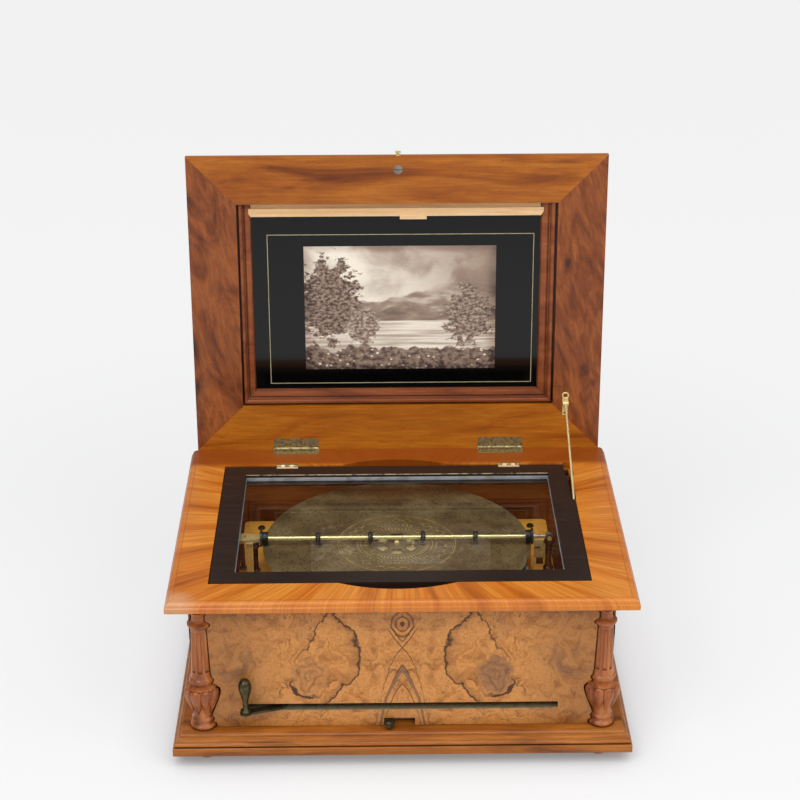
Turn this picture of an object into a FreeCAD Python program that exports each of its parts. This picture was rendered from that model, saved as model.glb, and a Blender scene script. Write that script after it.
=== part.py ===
import FreeCAD, Part
import math
import os

# Disc music box in a walnut case, millimetres, +Z up, +X to the right, front towards -Y.
# Sizes are laid out about the case centre, with Z = 0 at the floor under the feet.
# Each saved piece is then moved along Y by ORIGIN_SHIFT_Y, so that the origin is the
# middle of the standing footprint with the lid open.

V = FreeCAD.Vector
X_AXIS = V(1, 0, 0)
Y_AXIS = V(0, 1, 0)
Z_AXIS = V(0, 0, 1)

# Disc: the whole box is sized round it
DISC_R = 151.0
DISC_T = 0.8
DISC_Z = 173.0
DISC_ROOM_GAP = 3.0
DISC_ROOM_R = DISC_R + DISC_ROOM_GAP
MOVE_X = -4.0

# Case walls and overhang
BODY_MARGIN_X = 76.0
BODY_MARGIN_Y = 10.0
OVERHANG = 22.0
PANEL_T = 10.0
BODY_HALF_W = DISC_R + BODY_MARGIN_X
BODY_HALF_D = DISC_R + BODY_MARGIN_Y
CASE_W = 2 * (BODY_HALF_W + OVERHANG)
CASE_D = 2 * (BODY_HALF_D + OVERHANG)
FOOT_H = 12.5
PLINTH_H = 24.5
PLINTH_TOP = FOOT_H + PLINTH_H
TOP_T = 12.0
TOP_OVER_DISC = 30.5
TOP_Z = DISC_Z + TOP_OVER_DISC
TOP_UNDER = TOP_Z - TOP_T
MARGIN = 1.0
FREE_GAP = 0.3

# Feet
FOOT_R = 13.0
FOOT_TIP_R = 6.0
FOOT_IN_X = 35.0
FOOT_IN_Y = 23.0
FOOT_X = CASE_W / 2 - FOOT_IN_X
FOOT_Y = CASE_D / 2 - FOOT_IN_Y

# Plinth moulding
PLINTH_W = 36.0
PLINTH_STEP = 9.5
BOTTOM_T = 10.0
BOTTOM_RISE = 7.5
BOTTOM_Z = FOOT_H + BOTTOM_RISE
FLOOR_Z = BOTTOM_Z + BOTTOM_T

# Corner columns and the niches behind them
COLUMN_R = 20.2
COLUMN_IN_X = 10.6
COLUMN_IN_Y = 5.0
COLUMN_X = BODY_HALF_W - COLUMN_IN_X
COLUMN_Y = -(BODY_HALF_D - COLUMN_IN_Y)
COLUMN_HEAD_T = 11.5
COLUMN_TOP = TOP_UNDER - COLUMN_HEAD_T
COLUMN_H = COLUMN_TOP - PLINTH_TOP
NICHE_GAP = 1.3
POST_W = 36.0
POST_D = 34.0
POST_X = BODY_HALF_W - POST_W
POST_Y = -(BODY_HALF_D - POST_D)
LOBES = 8
LOBE_LEAN_DEG = 7.7
BULB_CORE = 0.8
FLUTES = 8

# Cornice under the top board
CORNICE_H = 10.0
CORNICE_OUT = 9.0

# Top board
EDGE_IN = 7.2
EDGE_DROP = 5.0
EDGE_STEP = 1.2
BOARD_BORDER = 60.0
SQUARE_REAR = 10.0

# Glazed inner frame
FRAME_LEFT = 50.0
FRAME_RIGHT = 54.0
FRAME_FRONT_IN = 11.6
FRAME_REAR_IN = 14.4
FRAME_X0 = MOVE_X - DISC_R - FRAME_LEFT
FRAME_X1 = MOVE_X + DISC_R + FRAME_RIGHT
FRAME_Y0 = -(DISC_R - FRAME_FRONT_IN)
FRAME_Y1 = DISC_R - FRAME_REAR_IN
FRAME_T = 12.0
FRAME_BORDER_X = 25.0
FRAME_BORDER_FRONT = 24.2
FRAME_BORDER_REAR = 20.8
FRAME_GAP = 1.0
PANE_T = 2.5
PANE_DROP = 8.0
PANE_LAP = 5.0
REST_W = 9.0
REST_T = 8.0
REST_TOP = TOP_Z - FRAME_T - 0.2
LEDGE_W = 10.5
LEDGE_IN = 20.0
REST_BREAK = 60.0

# Frame hinge line
GLASS_HINGE_GAP = 1.4
GLASS_HINGE_Y = FRAME_Y1 + GLASS_HINGE_GAP
GLASS_HINGE_Z = TOP_Z
GLASS_HINGE_R = 1.7
GLASS_PIN_R = 0.8
GLASS_HINGE_X = (-132.0, 130.5)
GLASS_HINGE_L = 25.0
GLASS_LEAF_W = 6.0

# Lid: sizes with the lid shut, then it is turned open about its hinge line
LID_GAP = 2.0
LID_IN_X = 7.5
LID_IN_Y = 7.0
LID_HALF_W = CASE_W / 2 - LID_IN_X
LID_DEPTH = CASE_D - LID_IN_Y
LID_FACE_Z = TOP_Z + LID_GAP
LID_FRAME_T = 20.0
LID_FRAME_W = 56.0
LID_PANEL_T = 8.0
LID_CHAMFER = 4.0
LID_EDGE_T = 7.0
LID_EDGE_IN = 8.0
LID_HINGE_Y = CASE_D / 2
LID_HINGE_Z = TOP_Z + LID_GAP / 2
LID_OPEN_DEG = 93.7
LID_REAR_GAP = -1.5
LID_HINGE_R = 2.4
LID_PIN_R = 1.1
LID_HINGE_X = (-123.0, 123.0)
LID_HINGE_L = 54.0
LID_LEAF_W = 13.0
LEAF_T = 1.5
LEAF_SCREW_IN = 8.0
LEAF_SCREW_PITCH = 18.0
LEAF_SCREW_R = 1.2
LEAF_SCREW_HEAD_R = 2.4
PIN_FIT = 0.04
KNUCKLE_GAP = 0.15

# Knob on the lid's front edge, and the screw that holds it
KNOB_R = 3.4
KNOB_H = 4.6
KNOB_X = 1.0
KNOB_SCREW_IN = 16.0
KNOB_SCREW_R = 3.0
KNOB_SCREW_HEAD_R = 5.2

# Picture in the lid
MOULD_LEFT_W = 16.0
MOULD_RIGHT_W = 19.2
MOULD_LOW_W = 18.5
RECESS_T = 12.7
MOUNT_T = 2.0
PRINT_T = 0.3
PRINT_IN_X = 73.0
PRINT_IN_LOW = 42.5
PRINT_IN_HIGH = 54.0
PRINT_X = 3.0
PRINT_W = 2 * (LID_HALF_W - LID_FRAME_W - PRINT_IN_X)
PRINT_S0 = LID_REAR_GAP + LID_FRAME_W + PRINT_IN_LOW
PRINT_S1 = LID_DEPTH - LID_FRAME_W - PRINT_IN_HIGH
STRIP_H = 6.0
STRIP_W = 9.5
STRIP_MITRE = 6.2
BAND_W = 7.0
BAND_H = 3.0
TAB_W = 31.0
TAB_DROP = 3.5
TAB_T = 1.2

# Lid stay
STAY_IN_X = 0.8
STAY_X = FRAME_X1 - STAY_IN_X
STAY_PIVOT_S = 57.0
STAY_PIVOT_DROP = 4.6
STAY_DEG = 24.2
STAY_L = 166.0
STAY_ROD_R = 1.3
STAY_EYE_R = 2.8
STAY_EYE_W = 3.0
STAY_PIN_R = 1.0
STAY_EAR_T = 1.8
STAY_EAR_R = 3.0
STAY_SLOT_W = 5.2
STAY_SLOT_X0 = STAY_X - STAY_SLOT_W / 2
STAY_SLOT_LEAD = 5.8
STAY_SLOT_RUN = 34.0
STAY_POCKET_W = 10.8
STAY_POCKET_FRONT = 16.5
STAY_POCKET_REAR = 18.0
STAY_POCKET_DEPTH = 8.0
STAY_PLATE_W = 6.8
STAY_PLATE_T = 1.4
STAY_RING_R = 3.5
STAY_RING_WIRE_R = 1.0

# Movement plates
BED_T = 6.0
BED_DROP = 33.0
BED_TOP = DISC_Z - BED_DROP
BED_Z = BED_TOP - BED_T
BED_OUT_X = 28.0
BED_IN_Y = 32.0
BED_HALF_X = DISC_R + BED_OUT_X
BED_HALF_Y = DISC_R - BED_IN_Y
BED_CORNER_R = 6.0
BED_WINDOW_X = 97.0
BED_WINDOW_HALF = 34.0
BED_WINDOW_IN = 20.0
BED_WINDOW_D = 44.0
BED_SLOT_X = 105.0
BED_SLOT_HALF = 45.0
BED_SLOT_IN = 24.0
BED_SLOT_D = 48.0
LOWER_RISE = 34.0
LOWER_Z = FLOOR_Z + LOWER_RISE
LOWER_T = 4.0
LOWER_LEFT = 138.0
LOWER_RIGHT = 72.0
LOWER_HALF_Y = 66.0
LOWER_CORNER_R = 14.0
PILLAR_R = 5.0
PILLAR_FOOT_R = 9.0
PILLAR_FOOT_T = 4.0
PILLAR_IN_X = 20.0
PILLAR_IN_Y = 18.0
LOWER_PILLAR_IN = 14.0
SCREW_R = 4.2
SCREW_H = 2.6
BORE_FIT = 0.05

# Gear train, all on upright arbors
GEAR_MODULE = 1.5
GEAR_T = 4.0
GREAT_TEETH = 60
SIDE_PINION_TEETH = 20
SIDE_WHEEL_TEETH = 40
HUB_TEETH = 40
FLY_TEETH = 15
BACKLASH = 0.35
HUB_WHEEL_DROP = 10.0
HUB_WHEEL_Z = BED_Z - HUB_WHEEL_DROP
GREAT_DROP = 16.0
GREAT_Z = HUB_WHEEL_Z - GREAT_DROP
SIDE_ANGLE = 140.0
FLY_ANGLE = 200.0
ARBOR_R = 5.0
SIDE_ARBOR_R = 3.0
FLY_ARBOR_R = 2.0
ARBOR_END = 0.5
BARREL_R = 40.0
BARREL_RISE = 9.0
BARREL_RIM_R = 28.0
BARREL_RIM_H = 2.0
FLY_BLADE_W = 34.0
FLY_BLADE_T = 1.0
FLY_BLADE_RISE = 18.0
FLY_BLADE_H = 22.0

# Hub that carries the disc
HUB_NECK_R = 6.0
HUB_NECK_END = 5.0
HUB_FLANGE_R = 24.0
HUB_FLANGE_DROP = 2.5
HUB_SEAT_R = 9.0
HUB_STEM_R = 7.0
HUB_FOOT_R = 10.0
HUB_FOOT_GAP = 3.0
HUB_PIN_R = 3.0
HUB_PIN_TIP_R = 1.8
HUB_PIN_H = 5.0
PEG_R = 1.6
PEG_X = 18.5
PEG_H = 2.5
PEG_FIT = 0.1
WINDOW_COUNT = 6
WINDOW_R0 = 12.5
WINDOW_R1 = 24.0
WINDOW_SPAN_DEG = 38.0

# Ratchet at the foot of the winding arbor, and its click
RATCHET_TEETH = 24
RATCHET_R = 22.0
RATCHET_DEPTH = 3.0
RATCHET_T = 4.0
RATCHET_DROP = 11.0
RATCHET_Z = LOWER_Z - RATCHET_DROP
CLICK_X = MOVE_X + 34.0
CLICK_Y = 24.0
CLICK_R = 5.0
CLICK_PIN_R = 2.0
CLICK_WRAP_DEG = 28.0
CLICK_GAP = 1.5

# Winding lever
LEVER_DROP = 4.0
LEVER_Z = LOWER_Z - LEVER_DROP
LEVER_T = 2.5
LEVER_W = 8.0
LEVER_HUB_R = 13.0
LEVER_HUB_T = 4.0
LEVER_END_R = 6.2
LEVER_BEND_IN = 31.0
LEVER_BEND_ASIDE = 17.5
LEVER_REST_DEG = 226.07
LEVER_SWING_DEG = 87.0
GRIP_OUT = 10.3
GRIP_H = 41.8
GRIP_R = 7.0
LEVER_L = (BODY_HALF_D + GRIP_OUT) / math.sin(math.radians(LEVER_REST_DEG - 180))

# Winding slot in the front panel, from the lever's two end places
SLOT_END_LEFT = 7.9
SLOT_END_RIGHT = 22.0
SLOT_BELOW = 3.0
SLOT_ABOVE = 3.0
SLOT_X0 = MOVE_X - BODY_HALF_D / math.tan(math.radians(LEVER_REST_DEG - 180)) - SLOT_END_LEFT
SLOT_X1 = (
    MOVE_X
    + BODY_HALF_D * math.tan(math.radians(LEVER_REST_DEG + LEVER_SWING_DEG - 270))
    + SLOT_END_RIGHT
)
SLOT_Z0 = LEVER_Z - SLOT_BELOW
SLOT_Z1 = LEVER_Z + LEVER_T + SLOT_ABOVE
STRIP_T = 1.2
SILL_T = 1.2
STRIP_END = 4.0
STRIP_BELOW = 6.0
STRIP_ABOVE = 2.2

# Stop lever and its notch
STOP_RISE = 10.0
STOP_Z = FLOOR_Z + STOP_RISE
STOP_T = 2.5
STOP_W = 5.0
STOP_IN = 86.0
STOP_X = -3.0
STOP_Y = -(BODY_HALF_D - STOP_IN)
STOP_EYE_R = 7.0
STOP_STUD_R = 2.5
STOP_STUD_FOOT_R = 5.0
STOP_STUD_HEAD_R = 4.5
STOP_TAIL = 26.0
STOP_OUT = 11.0
STOP_ASIDE = 11.7
STOP_KNOB_X = STOP_X - STOP_ASIDE
STOP_KNOB_Y = -(BODY_HALF_D + STOP_OUT)
STOP_KNOB_R = 5.7
STOP_KNOB_H = 6.0
STOP_KNOB_IN = 3.0
NOTCH_LEFT = 17.0
NOTCH_RIGHT = 16.6
NOTCH_X0 = STOP_X - NOTCH_LEFT
NOTCH_X1 = STOP_X + NOTCH_RIGHT
NOTCH_ABOVE = 3.5
NOTCH_TOP = STOP_Z + STOP_T + NOTCH_ABOVE

# Pressure bar over the disc
BAR_R = 2.4
ROLLER_R = 7.45
ROLLER_GAP = 0.15
BAR_Z = DISC_Z + DISC_T + ROLLER_GAP + ROLLER_R
ROLLER_W = 5.5
ROLLER_COUNT = 6
ROLLER_SPAN = 296.0
ROLLER_PITCH = ROLLER_SPAN / (ROLLER_COUNT - 1)
ROLLER_FLANGE_R = 9.3
ROLLER_FLANGE_T = 2.6
ROLLER_FLANGE_GAP = 0.6
BAR_LEFT = 3.8
BAR_X0 = MOVE_X - DISC_R - BAR_LEFT
BAR_RIGHT = 4.5
BAR_X1 = MOVE_X + DISC_R + BAR_RIGHT
BAR_COLLAR_R = 3.2
BAR_COLLAR_W = 1.5
BAR_STEM_R = 2.0
BAR_EYE_R = 4.2
BAR_EYE_W = 5.2
PIVOT_OUT = 21.3
BAR_PIVOT_X = MOVE_X + DISC_R + PIVOT_OUT
PIVOT_PIN_R = 1.5
PIVOT_PIN_HEAD_R = 2.6
PIVOT_PIN_HEAD_T = 1.4
PIVOT_POST_R = 6.2
PIVOT_POST_NECK = 5.4
PIVOT_POST_H = BAR_Z - BED_TOP - PIVOT_POST_NECK
CHEEK_T = 2.4
CHEEK_R = 3.6
CHEEK_GAP = 0.2
PRESS_FIT = 0.01
TONGUE_T = 4.0
TONGUE_L = 22.2
TONGUE_W = 19.0
TONGUE_HOLE_R = 1.6
REST_OUT = 9.2
REST_POST_X = MOVE_X - DISC_R - REST_OUT
REST_POST_R = 5.4
REST_POST_GAP = 0.1
REST_POST_H = BAR_Z - TONGUE_T / 2 - REST_POST_GAP - BED_TOP
CATCH_T = 1.2
CATCH_W = 7.5
CATCH_FOOT = 10.2
CATCH_LIP = 3.2
CATCH_ASIDE = 1.5
CATCH_Y = -11.8

# Comb and star wheels
STAR_COUNT = 36
STAR_PITCH = 3.2
STAR_START = 32.0
STAR_X0 = MOVE_X + STAR_START
STAR_R = 6.5
STAR_T = 1.3
STAR_POINTS = 8
STAR_DROP = 0.3
STAR_Z = DISC_Z - STAR_DROP - STAR_R
STAR_SHAFT_R = 1.2
STAR_SHAFT_OUT = 5.0
STAR_SHAFT_END = 2.5
BRACKET_T = 3.0
BRACKET_HALF = 4.0
BRACKET_FOOT = 14.0
COMB_GAP = 0.3
COMB_TOOTH_L = 38.0
COMB_T = 2.6
COMB_SLIT = 0.9
COMB_BASE_W = 17.0
COMB_BASE_T = COMB_T + 1.5
COMB_SCREW_START = 10.0
COMB_SCREW_PITCH = 32.0
COMB_SCREWS = 4


def box(x0, x1, y0, y1, z0, z1):
    return Part.makeBox(x1 - x0, y1 - y0, z1 - z0, V(x0, y0, z0))


def rod(radius, x, y, z, length, axis=Z_AXIS):
    return Part.makeCylinder(radius, length, V(x, y, z), axis)


def prism(points, along):
    wire = Part.makePolygon(list(points) + [points[0]])
    return Part.Face(wire).extrude(along)


def turned(profile, x, y, z, axis=Z_AXIS):
    # A turned piece from (radius, height) pairs, closed on the axis
    points = [V(r, 0, h) for r, h in profile]
    if points[0].x > 0:
        points.insert(0, V(0, 0, points[0].z))
    if points[-1].x > 0:
        points.append(V(0, 0, points[-1].z))
    wire = Part.makePolygon(points + [points[0]])
    solid = Part.Face(wire).revolve(V(0, 0, 0), Z_AXIS, 360)
    solid.Placement = FreeCAD.Placement(V(x, y, z), FreeCAD.Rotation(Z_AXIS, axis))
    return solid


def fitted(profile, radius, height):
    # A drawn profile stretched to a named largest radius and a named height
    drawn_r = max(r for r, h in profile)
    drawn_h = max(h for r, h in profile)
    return [(r * radius / drawn_r, h * height / drawn_h) for r, h in profile]


def fused(shapes):
    shape = shapes[0]
    if len(shapes) > 1:
        shape = shape.fuse(list(shapes[1:]))
    return shape.removeSplitter()


def lid_turned(shape):
    # The lid group is laid out shut and turned open about the hinge line
    shape.rotate(V(0, LID_HINGE_Y, LID_HINGE_Z), X_AXIS, -LID_OPEN_DEG)
    return shape


def lid_box(x0, x1, s0, s1, t0, t1):
    # s runs from the hinge line to the front edge, t outwards from the inner face
    return box(x0, x1, LID_HINGE_Y - s1, LID_HINGE_Y - s0, LID_FACE_Z + t0, LID_FACE_Z + t1)


def mirrored_x(shape):
    return shape.mirror(V(0, 0, 0), X_AXIS)


def mitred_ring(half_w, half_d, profile):
    # Four mouldings round a rectangle; profile gives (inward distance, height) pairs
    pieces = []
    for quarter in range(4):
        run = half_w if quarter % 2 == 0 else half_d
        out = half_d if quarter % 2 == 0 else half_w
        points = [V(0, -out + d, z) for d, z in profile]
        bar = prism([p + V(-run, 0, 0) for p in points], V(2 * run, 0, 0))
        reach = 2 * max(half_w, half_d)
        low = min(z for d, z in profile) - 1
        high = max(z for d, z in profile) + 1
        corner = [V(-run, -out, low), V(run, -out, low), V(run - reach, -out + reach, low)]
        corner += [V(-run + reach, -out + reach, low)]
        if run < reach:
            mid = V(0, -out + run, low)
            corner = [V(-run, -out, low), V(run, -out, low), mid]
        piece = bar.common(prism(corner, V(0, 0, high - low)))
        piece.rotate(V(0, 0, 0), Z_AXIS, 90 * quarter)
        pieces.append(piece)
    return pieces


def feet():
    # Small turned bun feet under the plinth
    profile = [(FOOT_TIP_R, 0), (0.77 * FOOT_R, 0.24 * FOOT_H), (FOOT_R, 0.56 * FOOT_H)]
    profile += [(0.92 * FOOT_R, FOOT_H)]
    places = [(x, y) for x in (-FOOT_X, FOOT_X) for y in (-FOOT_Y, FOOT_Y)]
    return [turned(profile, x, y, 0) for x, y in places]


def plinth():
    # Band, groove, bead, hollow and fillet, as shares of the moulding's step and height
    drawn = [(0.10, 0.00), (0.00, 0.04), (0.00, 0.37), (0.10, 0.41), (0.31, 0.41)]
    drawn += [(0.31, 0.46), (0.17, 0.475), (0.12, 0.52), (0.21, 0.57), (0.37, 0.61)]
    drawn += [(0.44, 0.69), (0.61, 0.78), (0.84, 0.82), (0.84, 0.90), (1.00, 0.94), (1.00, 1.00)]
    profile = [(d * PLINTH_STEP, FOOT_H + h * PLINTH_H) for d, h in drawn]
    profile = [(PLINTH_W, FOOT_H)] + profile + [(PLINTH_W, PLINTH_TOP)]
    return mitred_ring(CASE_W / 2, CASE_D / 2, profile)


def bottom_board():
    half_w = CASE_W / 2 - PLINTH_W
    half_d = CASE_D / 2 - PLINTH_W
    return box(-half_w, half_w, -half_d, half_d, BOTTOM_Z, FLOOR_Z)


def disc_room(z0):
    return rod(DISC_ROOM_R, MOVE_X, 0, z0, TOP_Z + MARGIN - z0)


def front_panel():
    # Slot for the winding lever, notch for the stop lever, relief for the disc's rim
    y0 = -BODY_HALF_D - MARGIN
    y1 = -BODY_HALF_D + PANEL_T
    panel = box(-POST_X, POST_X, -BODY_HALF_D, y1, PLINTH_TOP, TOP_UNDER)
    slot = box(SLOT_X0, SLOT_X1, y0, y1 + MARGIN, SLOT_Z0, SLOT_Z1)
    notch = box(NOTCH_X0, NOTCH_X1, y0, y1 + MARGIN, PLINTH_TOP - MARGIN, NOTCH_TOP)
    return panel.cut([slot, notch, disc_room(DISC_Z - PANEL_T)])


def back_panel():
    y1 = BODY_HALF_D
    panel = box(-BODY_HALF_W, BODY_HALF_W, y1 - PANEL_T, y1, PLINTH_TOP, TOP_UNDER)
    return panel.cut(disc_room(DISC_Z - PANEL_T))


def side_panels():
    right = box(
        BODY_HALF_W - PANEL_T, BODY_HALF_W, POST_Y, BODY_HALF_D - PANEL_T, PLINTH_TOP, TOP_UNDER
    )
    return [mirrored_x(right), right]


def corner_posts():
    # Solid front corners, cut away outside each column and hollowed to its outline
    block = box(POST_X, BODY_HALF_W, -BODY_HALF_D, POST_Y, PLINTH_TOP, TOP_UNDER)
    outline = [(r + NICHE_GAP, h) for r, h in column_profile()]
    niche = turned(outline, COLUMN_X, COLUMN_Y, PLINTH_TOP)
    corner = box(
        COLUMN_X,
        BODY_HALF_W + MARGIN,
        -BODY_HALF_D - MARGIN,
        COLUMN_Y,
        PLINTH_TOP - MARGIN,
        COLUMN_TOP,
    )
    right = block.cut([niche, corner])
    return [mirrored_x(right), right]


def column_profile(swell=1.0):
    # Base ring, bulb, collars and a tapering shaft; swell draws the bulb in by a share
    low = [(13.2, 0), (14.2, 1.4), (14.4, 2.8), (14.0, 4.4), (12.4, 5.8), (11.2, 6.6)]
    low += [(11.0, 8.0), (12.2, 9.6), (12.3, 11.6), (11.2, 13.2), (10.6, 14.6), (10.8, 17.0)]
    bulb = [(13.4, 24.0), (17.4, 35.0), (19.6, 42.5), (20.2, 46.5), (19.4, 50.0)]
    high = [(17.2, 51.6), (16.4, 53.0), (14.0, 54.0), (12.2, 54.8), (11.8, 56.0)]
    high += [(13.2, 57.8), (13.5, 59.6), (13.0, 61.6), (11.6, 63.0), (11.4, 64.4)]
    high += [(10.9, 67.0), (10.6, 69.0), (8.9, 121.5), (9.0, 123.6), (9.6, 124.6)]
    high += [(11.8, 126.2), (12.4, 127.8), (12.2, 129.6), (10.4, 131.2), (8.4, 132.2)]
    high += [(7.6, 134.0), (7.6, 139.0), (9.0, 143.0)]
    outline = fitted(low + bulb + high, COLUMN_R, COLUMN_H)
    first = len(low)
    last = first + len(bulb)
    drawn_in = [(r * swell, h) for r, h in outline[first:last]]
    return outline[:first] + drawn_in + outline[last:]


def corner_columns():
    # The turned column with its lobed bulb and fluted shaft
    core = turned(column_profile(BULB_CORE), 0, 0, PLINTH_TOP)
    column = fused([core.cut(column_flutes())] + column_lobes())
    left = column.copy()
    left.translate(V(-COLUMN_X, COLUMN_Y, 0))
    column.translate(V(COLUMN_X, COLUMN_Y, 0))
    return [left, column]


def column_lobes():
    # Rounded lobes round the bulb, each a teardrop leaning out from the foot
    drawn = [(0.03, 0.0), (0.109, 0.035), (0.198, 0.077), (0.287, 0.126), (0.332, 0.168)]
    drawn += [(0.342, 0.196), (0.312, 0.217), (0.248, 0.231), (0.158, 0.241), (0.059, 0.246)]
    profile = [(r * COLUMN_R, h * COLUMN_H) for r, h in drawn]
    foot = V(0.465 * COLUMN_R, 0, PLINTH_TOP + 0.119 * COLUMN_H)
    lobes = []
    for i in range(LOBES):
        lobe = turned(profile, 0, 0, 0)
        lobe.translate(foot)
        lobe.rotate(foot, Y_AXIS, LOBE_LEAN_DEG)
        lobe.rotate(V(0, 0, 0), Z_AXIS, 360 / LOBES * (i + 0.5))
        lobes.append(lobe)
    return lobes


def column_flutes():
    # Round flutes sunk in the tapering shaft
    start = V(0.552 * COLUMN_R, 0, PLINTH_TOP + 0.493 * COLUMN_H)
    lean = math.degrees(math.atan(0.084 * COLUMN_R / (0.367 * COLUMN_H)))
    flutes = []
    for i in range(FLUTES):
        flute = Part.makeCylinder(0.129 * COLUMN_R, 0.346 * COLUMN_H, start, Z_AXIS)
        flute.rotate(start, Y_AXIS, -lean)
        flute.rotate(V(0, 0, 0), Z_AXIS, 360 / FLUTES * i)
        flutes.append(flute)
    return flutes


def cornice():
    # Hollow moulding between the case walls and the top board
    low = TOP_UNDER - CORNICE_H
    drawn = [(1.00, 0.00), (0.83, 0.00), (0.78, 0.15), (0.67, 0.45), (0.39, 0.70)]
    drawn += [(0.17, 0.80), (0.00, 0.82), (0.00, 1.00), (1.00, 1.00)]
    profile = [(d * CORNICE_OUT, low + h * CORNICE_H) for d, h in drawn]
    return mitred_ring(BODY_HALF_W + CORNICE_OUT, BODY_HALF_D + CORNICE_OUT, profile)


def stay_slot():
    # A slot sloped like the stay, and a wider pocket for the stay's bracket at its rear
    p = stay_point()
    bracket_y = LID_HINGE_Y - STAY_PIVOT_S
    y0 = p.y - (p.z - TOP_Z) / math.tan(math.radians(STAY_DEG)) - STAY_SLOT_LEAD
    y1 = bracket_y + STAY_EAR_R + MARGIN
    foot = y0 - STAY_SLOT_RUN / math.tan(math.radians(STAY_DEG))
    low = TOP_Z - STAY_SLOT_RUN
    high = TOP_Z + MARGIN
    points = [V(STAY_SLOT_X0, y0, TOP_Z), V(STAY_SLOT_X0, y0, high), V(STAY_SLOT_X0, y1, high)]
    points += [V(STAY_SLOT_X0, y1, low), V(STAY_SLOT_X0, foot, low)]
    through = prism(points, V(STAY_SLOT_W, 0, 0))
    pocket = box(
        STAY_X - STAY_POCKET_W / 2,
        STAY_X + STAY_POCKET_W / 2,
        bracket_y - STAY_POCKET_FRONT,
        bracket_y + STAY_POCKET_REAR,
        TOP_Z - STAY_POCKET_DEPTH,
        high,
    )
    return through.fuse(pocket)


def board_outline():
    # Top board with its upper edge rounded in front and at the sides, and square behind
    half_w = CASE_W / 2
    half_d = CASE_D / 2
    steps = 6
    inner = BOARD_BORDER
    shoulder = TOP_Z - EDGE_DROP
    profile = [(inner, TOP_UNDER), (0.8, TOP_UNDER), (0, TOP_UNDER + 1.0)]
    profile += [(0, shoulder - EDGE_STEP), (EDGE_STEP, shoulder)]
    for i in range(1, steps + 1):
        turn = math.radians(90 * i / steps)
        inward = EDGE_STEP + (EDGE_IN - EDGE_STEP) * (1 - math.cos(turn))
        profile.append((inward, TOP_Z - EDGE_DROP * (1 - math.sin(turn))))
    pieces = mitred_ring(half_w, half_d + SQUARE_REAR, profile + [(inner, TOP_Z)])
    far = half_d + 2 * SQUARE_REAR
    for piece in pieces:
        piece.translate(V(0, SQUARE_REAR, 0))
    core = box(-half_w + inner, half_w - inner, -half_d + inner, far - inner, TOP_UNDER, TOP_Z)
    keep = box(-half_w, half_w, -half_d, half_d, TOP_UNDER, TOP_Z)
    return fused(pieces + [core]).common(keep)


def hinge_pocket(x, y, z, radius, length, gap):
    return rod(radius + gap, x - length / 2 - gap, y, z, length + 2 * gap, X_AXIS)


def top_board():
    # One veneered board with the opening for the glazed frame and room to lift the disc
    board = board_outline()
    opening = box(
        FRAME_X0 - FRAME_GAP,
        FRAME_X1 + FRAME_GAP,
        FRAME_Y0 - FRAME_GAP,
        GLASS_HINGE_Y + GLASS_HINGE_R + FREE_GAP,
        TOP_UNDER - MARGIN,
        TOP_Z + MARGIN,
    )
    cuts = [opening, disc_room(TOP_UNDER - MARGIN), stay_slot()]
    for x in GLASS_HINGE_X:
        cuts.append(hinge_leaf_case(x, GLASS_HINGE_L, GLASS_HINGE_Y, TOP_Z, GLASS_LEAF_W, 1))
        cuts.append(glass_hinge_pocket(x))
    for x in LID_HINGE_X:
        cuts.append(hinge_leaf_case(x, LID_HINGE_L, LID_HINGE_Y, TOP_Z, LID_LEAF_W, -1))
        cuts.append(lid_hinge_pocket(x))
    return board.cut(cuts)


def glass_hinge_pocket(x):
    return hinge_pocket(x, GLASS_HINGE_Y, GLASS_HINGE_Z, GLASS_HINGE_R, GLASS_HINGE_L, FREE_GAP)


def lid_hinge_pocket(x):
    return hinge_pocket(x, LID_HINGE_Y, LID_HINGE_Z, LID_HINGE_R, LID_HINGE_L, FREE_GAP)


def hinge_leaf_case(x, length, y, z_face, width, side):
    # Flat leaf let in flush with an upward face, on the +Y or -Y side of the pin
    y0, y1 = (y, y + width) if side > 0 else (y - width, y)
    return box(x - length / 2, x + length / 2, y0, y1, z_face - LEAF_T, z_face)


def knuckles(x, length, y, z, radius, first, count=5):
    # Every other knuckle of a row
    step = length / count
    pieces = []
    for i in range(first, count, 2):
        x0 = x - length / 2 + i * step + (KNUCKLE_GAP if i else 0)
        x1 = x - length / 2 + (i + 1) * step - (KNUCKLE_GAP if i < count - 1 else 0)
        pieces.append(rod(radius, x0, y, z, x1 - x0, X_AXIS))
    return pieces


def hinge_room(x, length, y, z, radius, first, count=5):
    # Room cut in a leaf for the other leaf's knuckles
    step = length / count
    pieces = []
    for i in range(first, count, 2):
        x0 = x - length / 2 + i * step
        pieces.append(rod(radius + FREE_GAP, x0, y, z, step, X_AXIS))
    return pieces


def hinge_half(x, length, y, z, radius, pin_r, leaf, first):
    # A leaf with its own knuckles, cleared round the other leaf's and bored for the pin
    body = leaf.cut(hinge_room(x, length, y, z, radius, 1 - first))
    body = fused([body] + knuckles(x, length, y, z, radius, first))
    return body.cut(rod(pin_r + PIN_FIT, x - length, y, z, 2 * length, X_AXIS))


def hinge_case_leaves():
    # The case halves of the two lid hinges and the two glazed frame hinges
    pieces = []
    for x in LID_HINGE_X:
        leaf = hinge_leaf_case(x, LID_HINGE_L, LID_HINGE_Y, TOP_Z, LID_LEAF_W, -1)
        pieces.append(lid_hinge_half(x, leaf, 0))
    for x in GLASS_HINGE_X:
        leaf = hinge_leaf_case(x, GLASS_HINGE_L, GLASS_HINGE_Y, TOP_Z, GLASS_LEAF_W, 1)
        pieces.append(glass_hinge_half(x, leaf, 0))
    return pieces


def lid_hinge_half(x, leaf, first):
    return hinge_half(
        x, LID_HINGE_L, LID_HINGE_Y, LID_HINGE_Z, LID_HINGE_R, LID_PIN_R, leaf, first
    )


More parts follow.
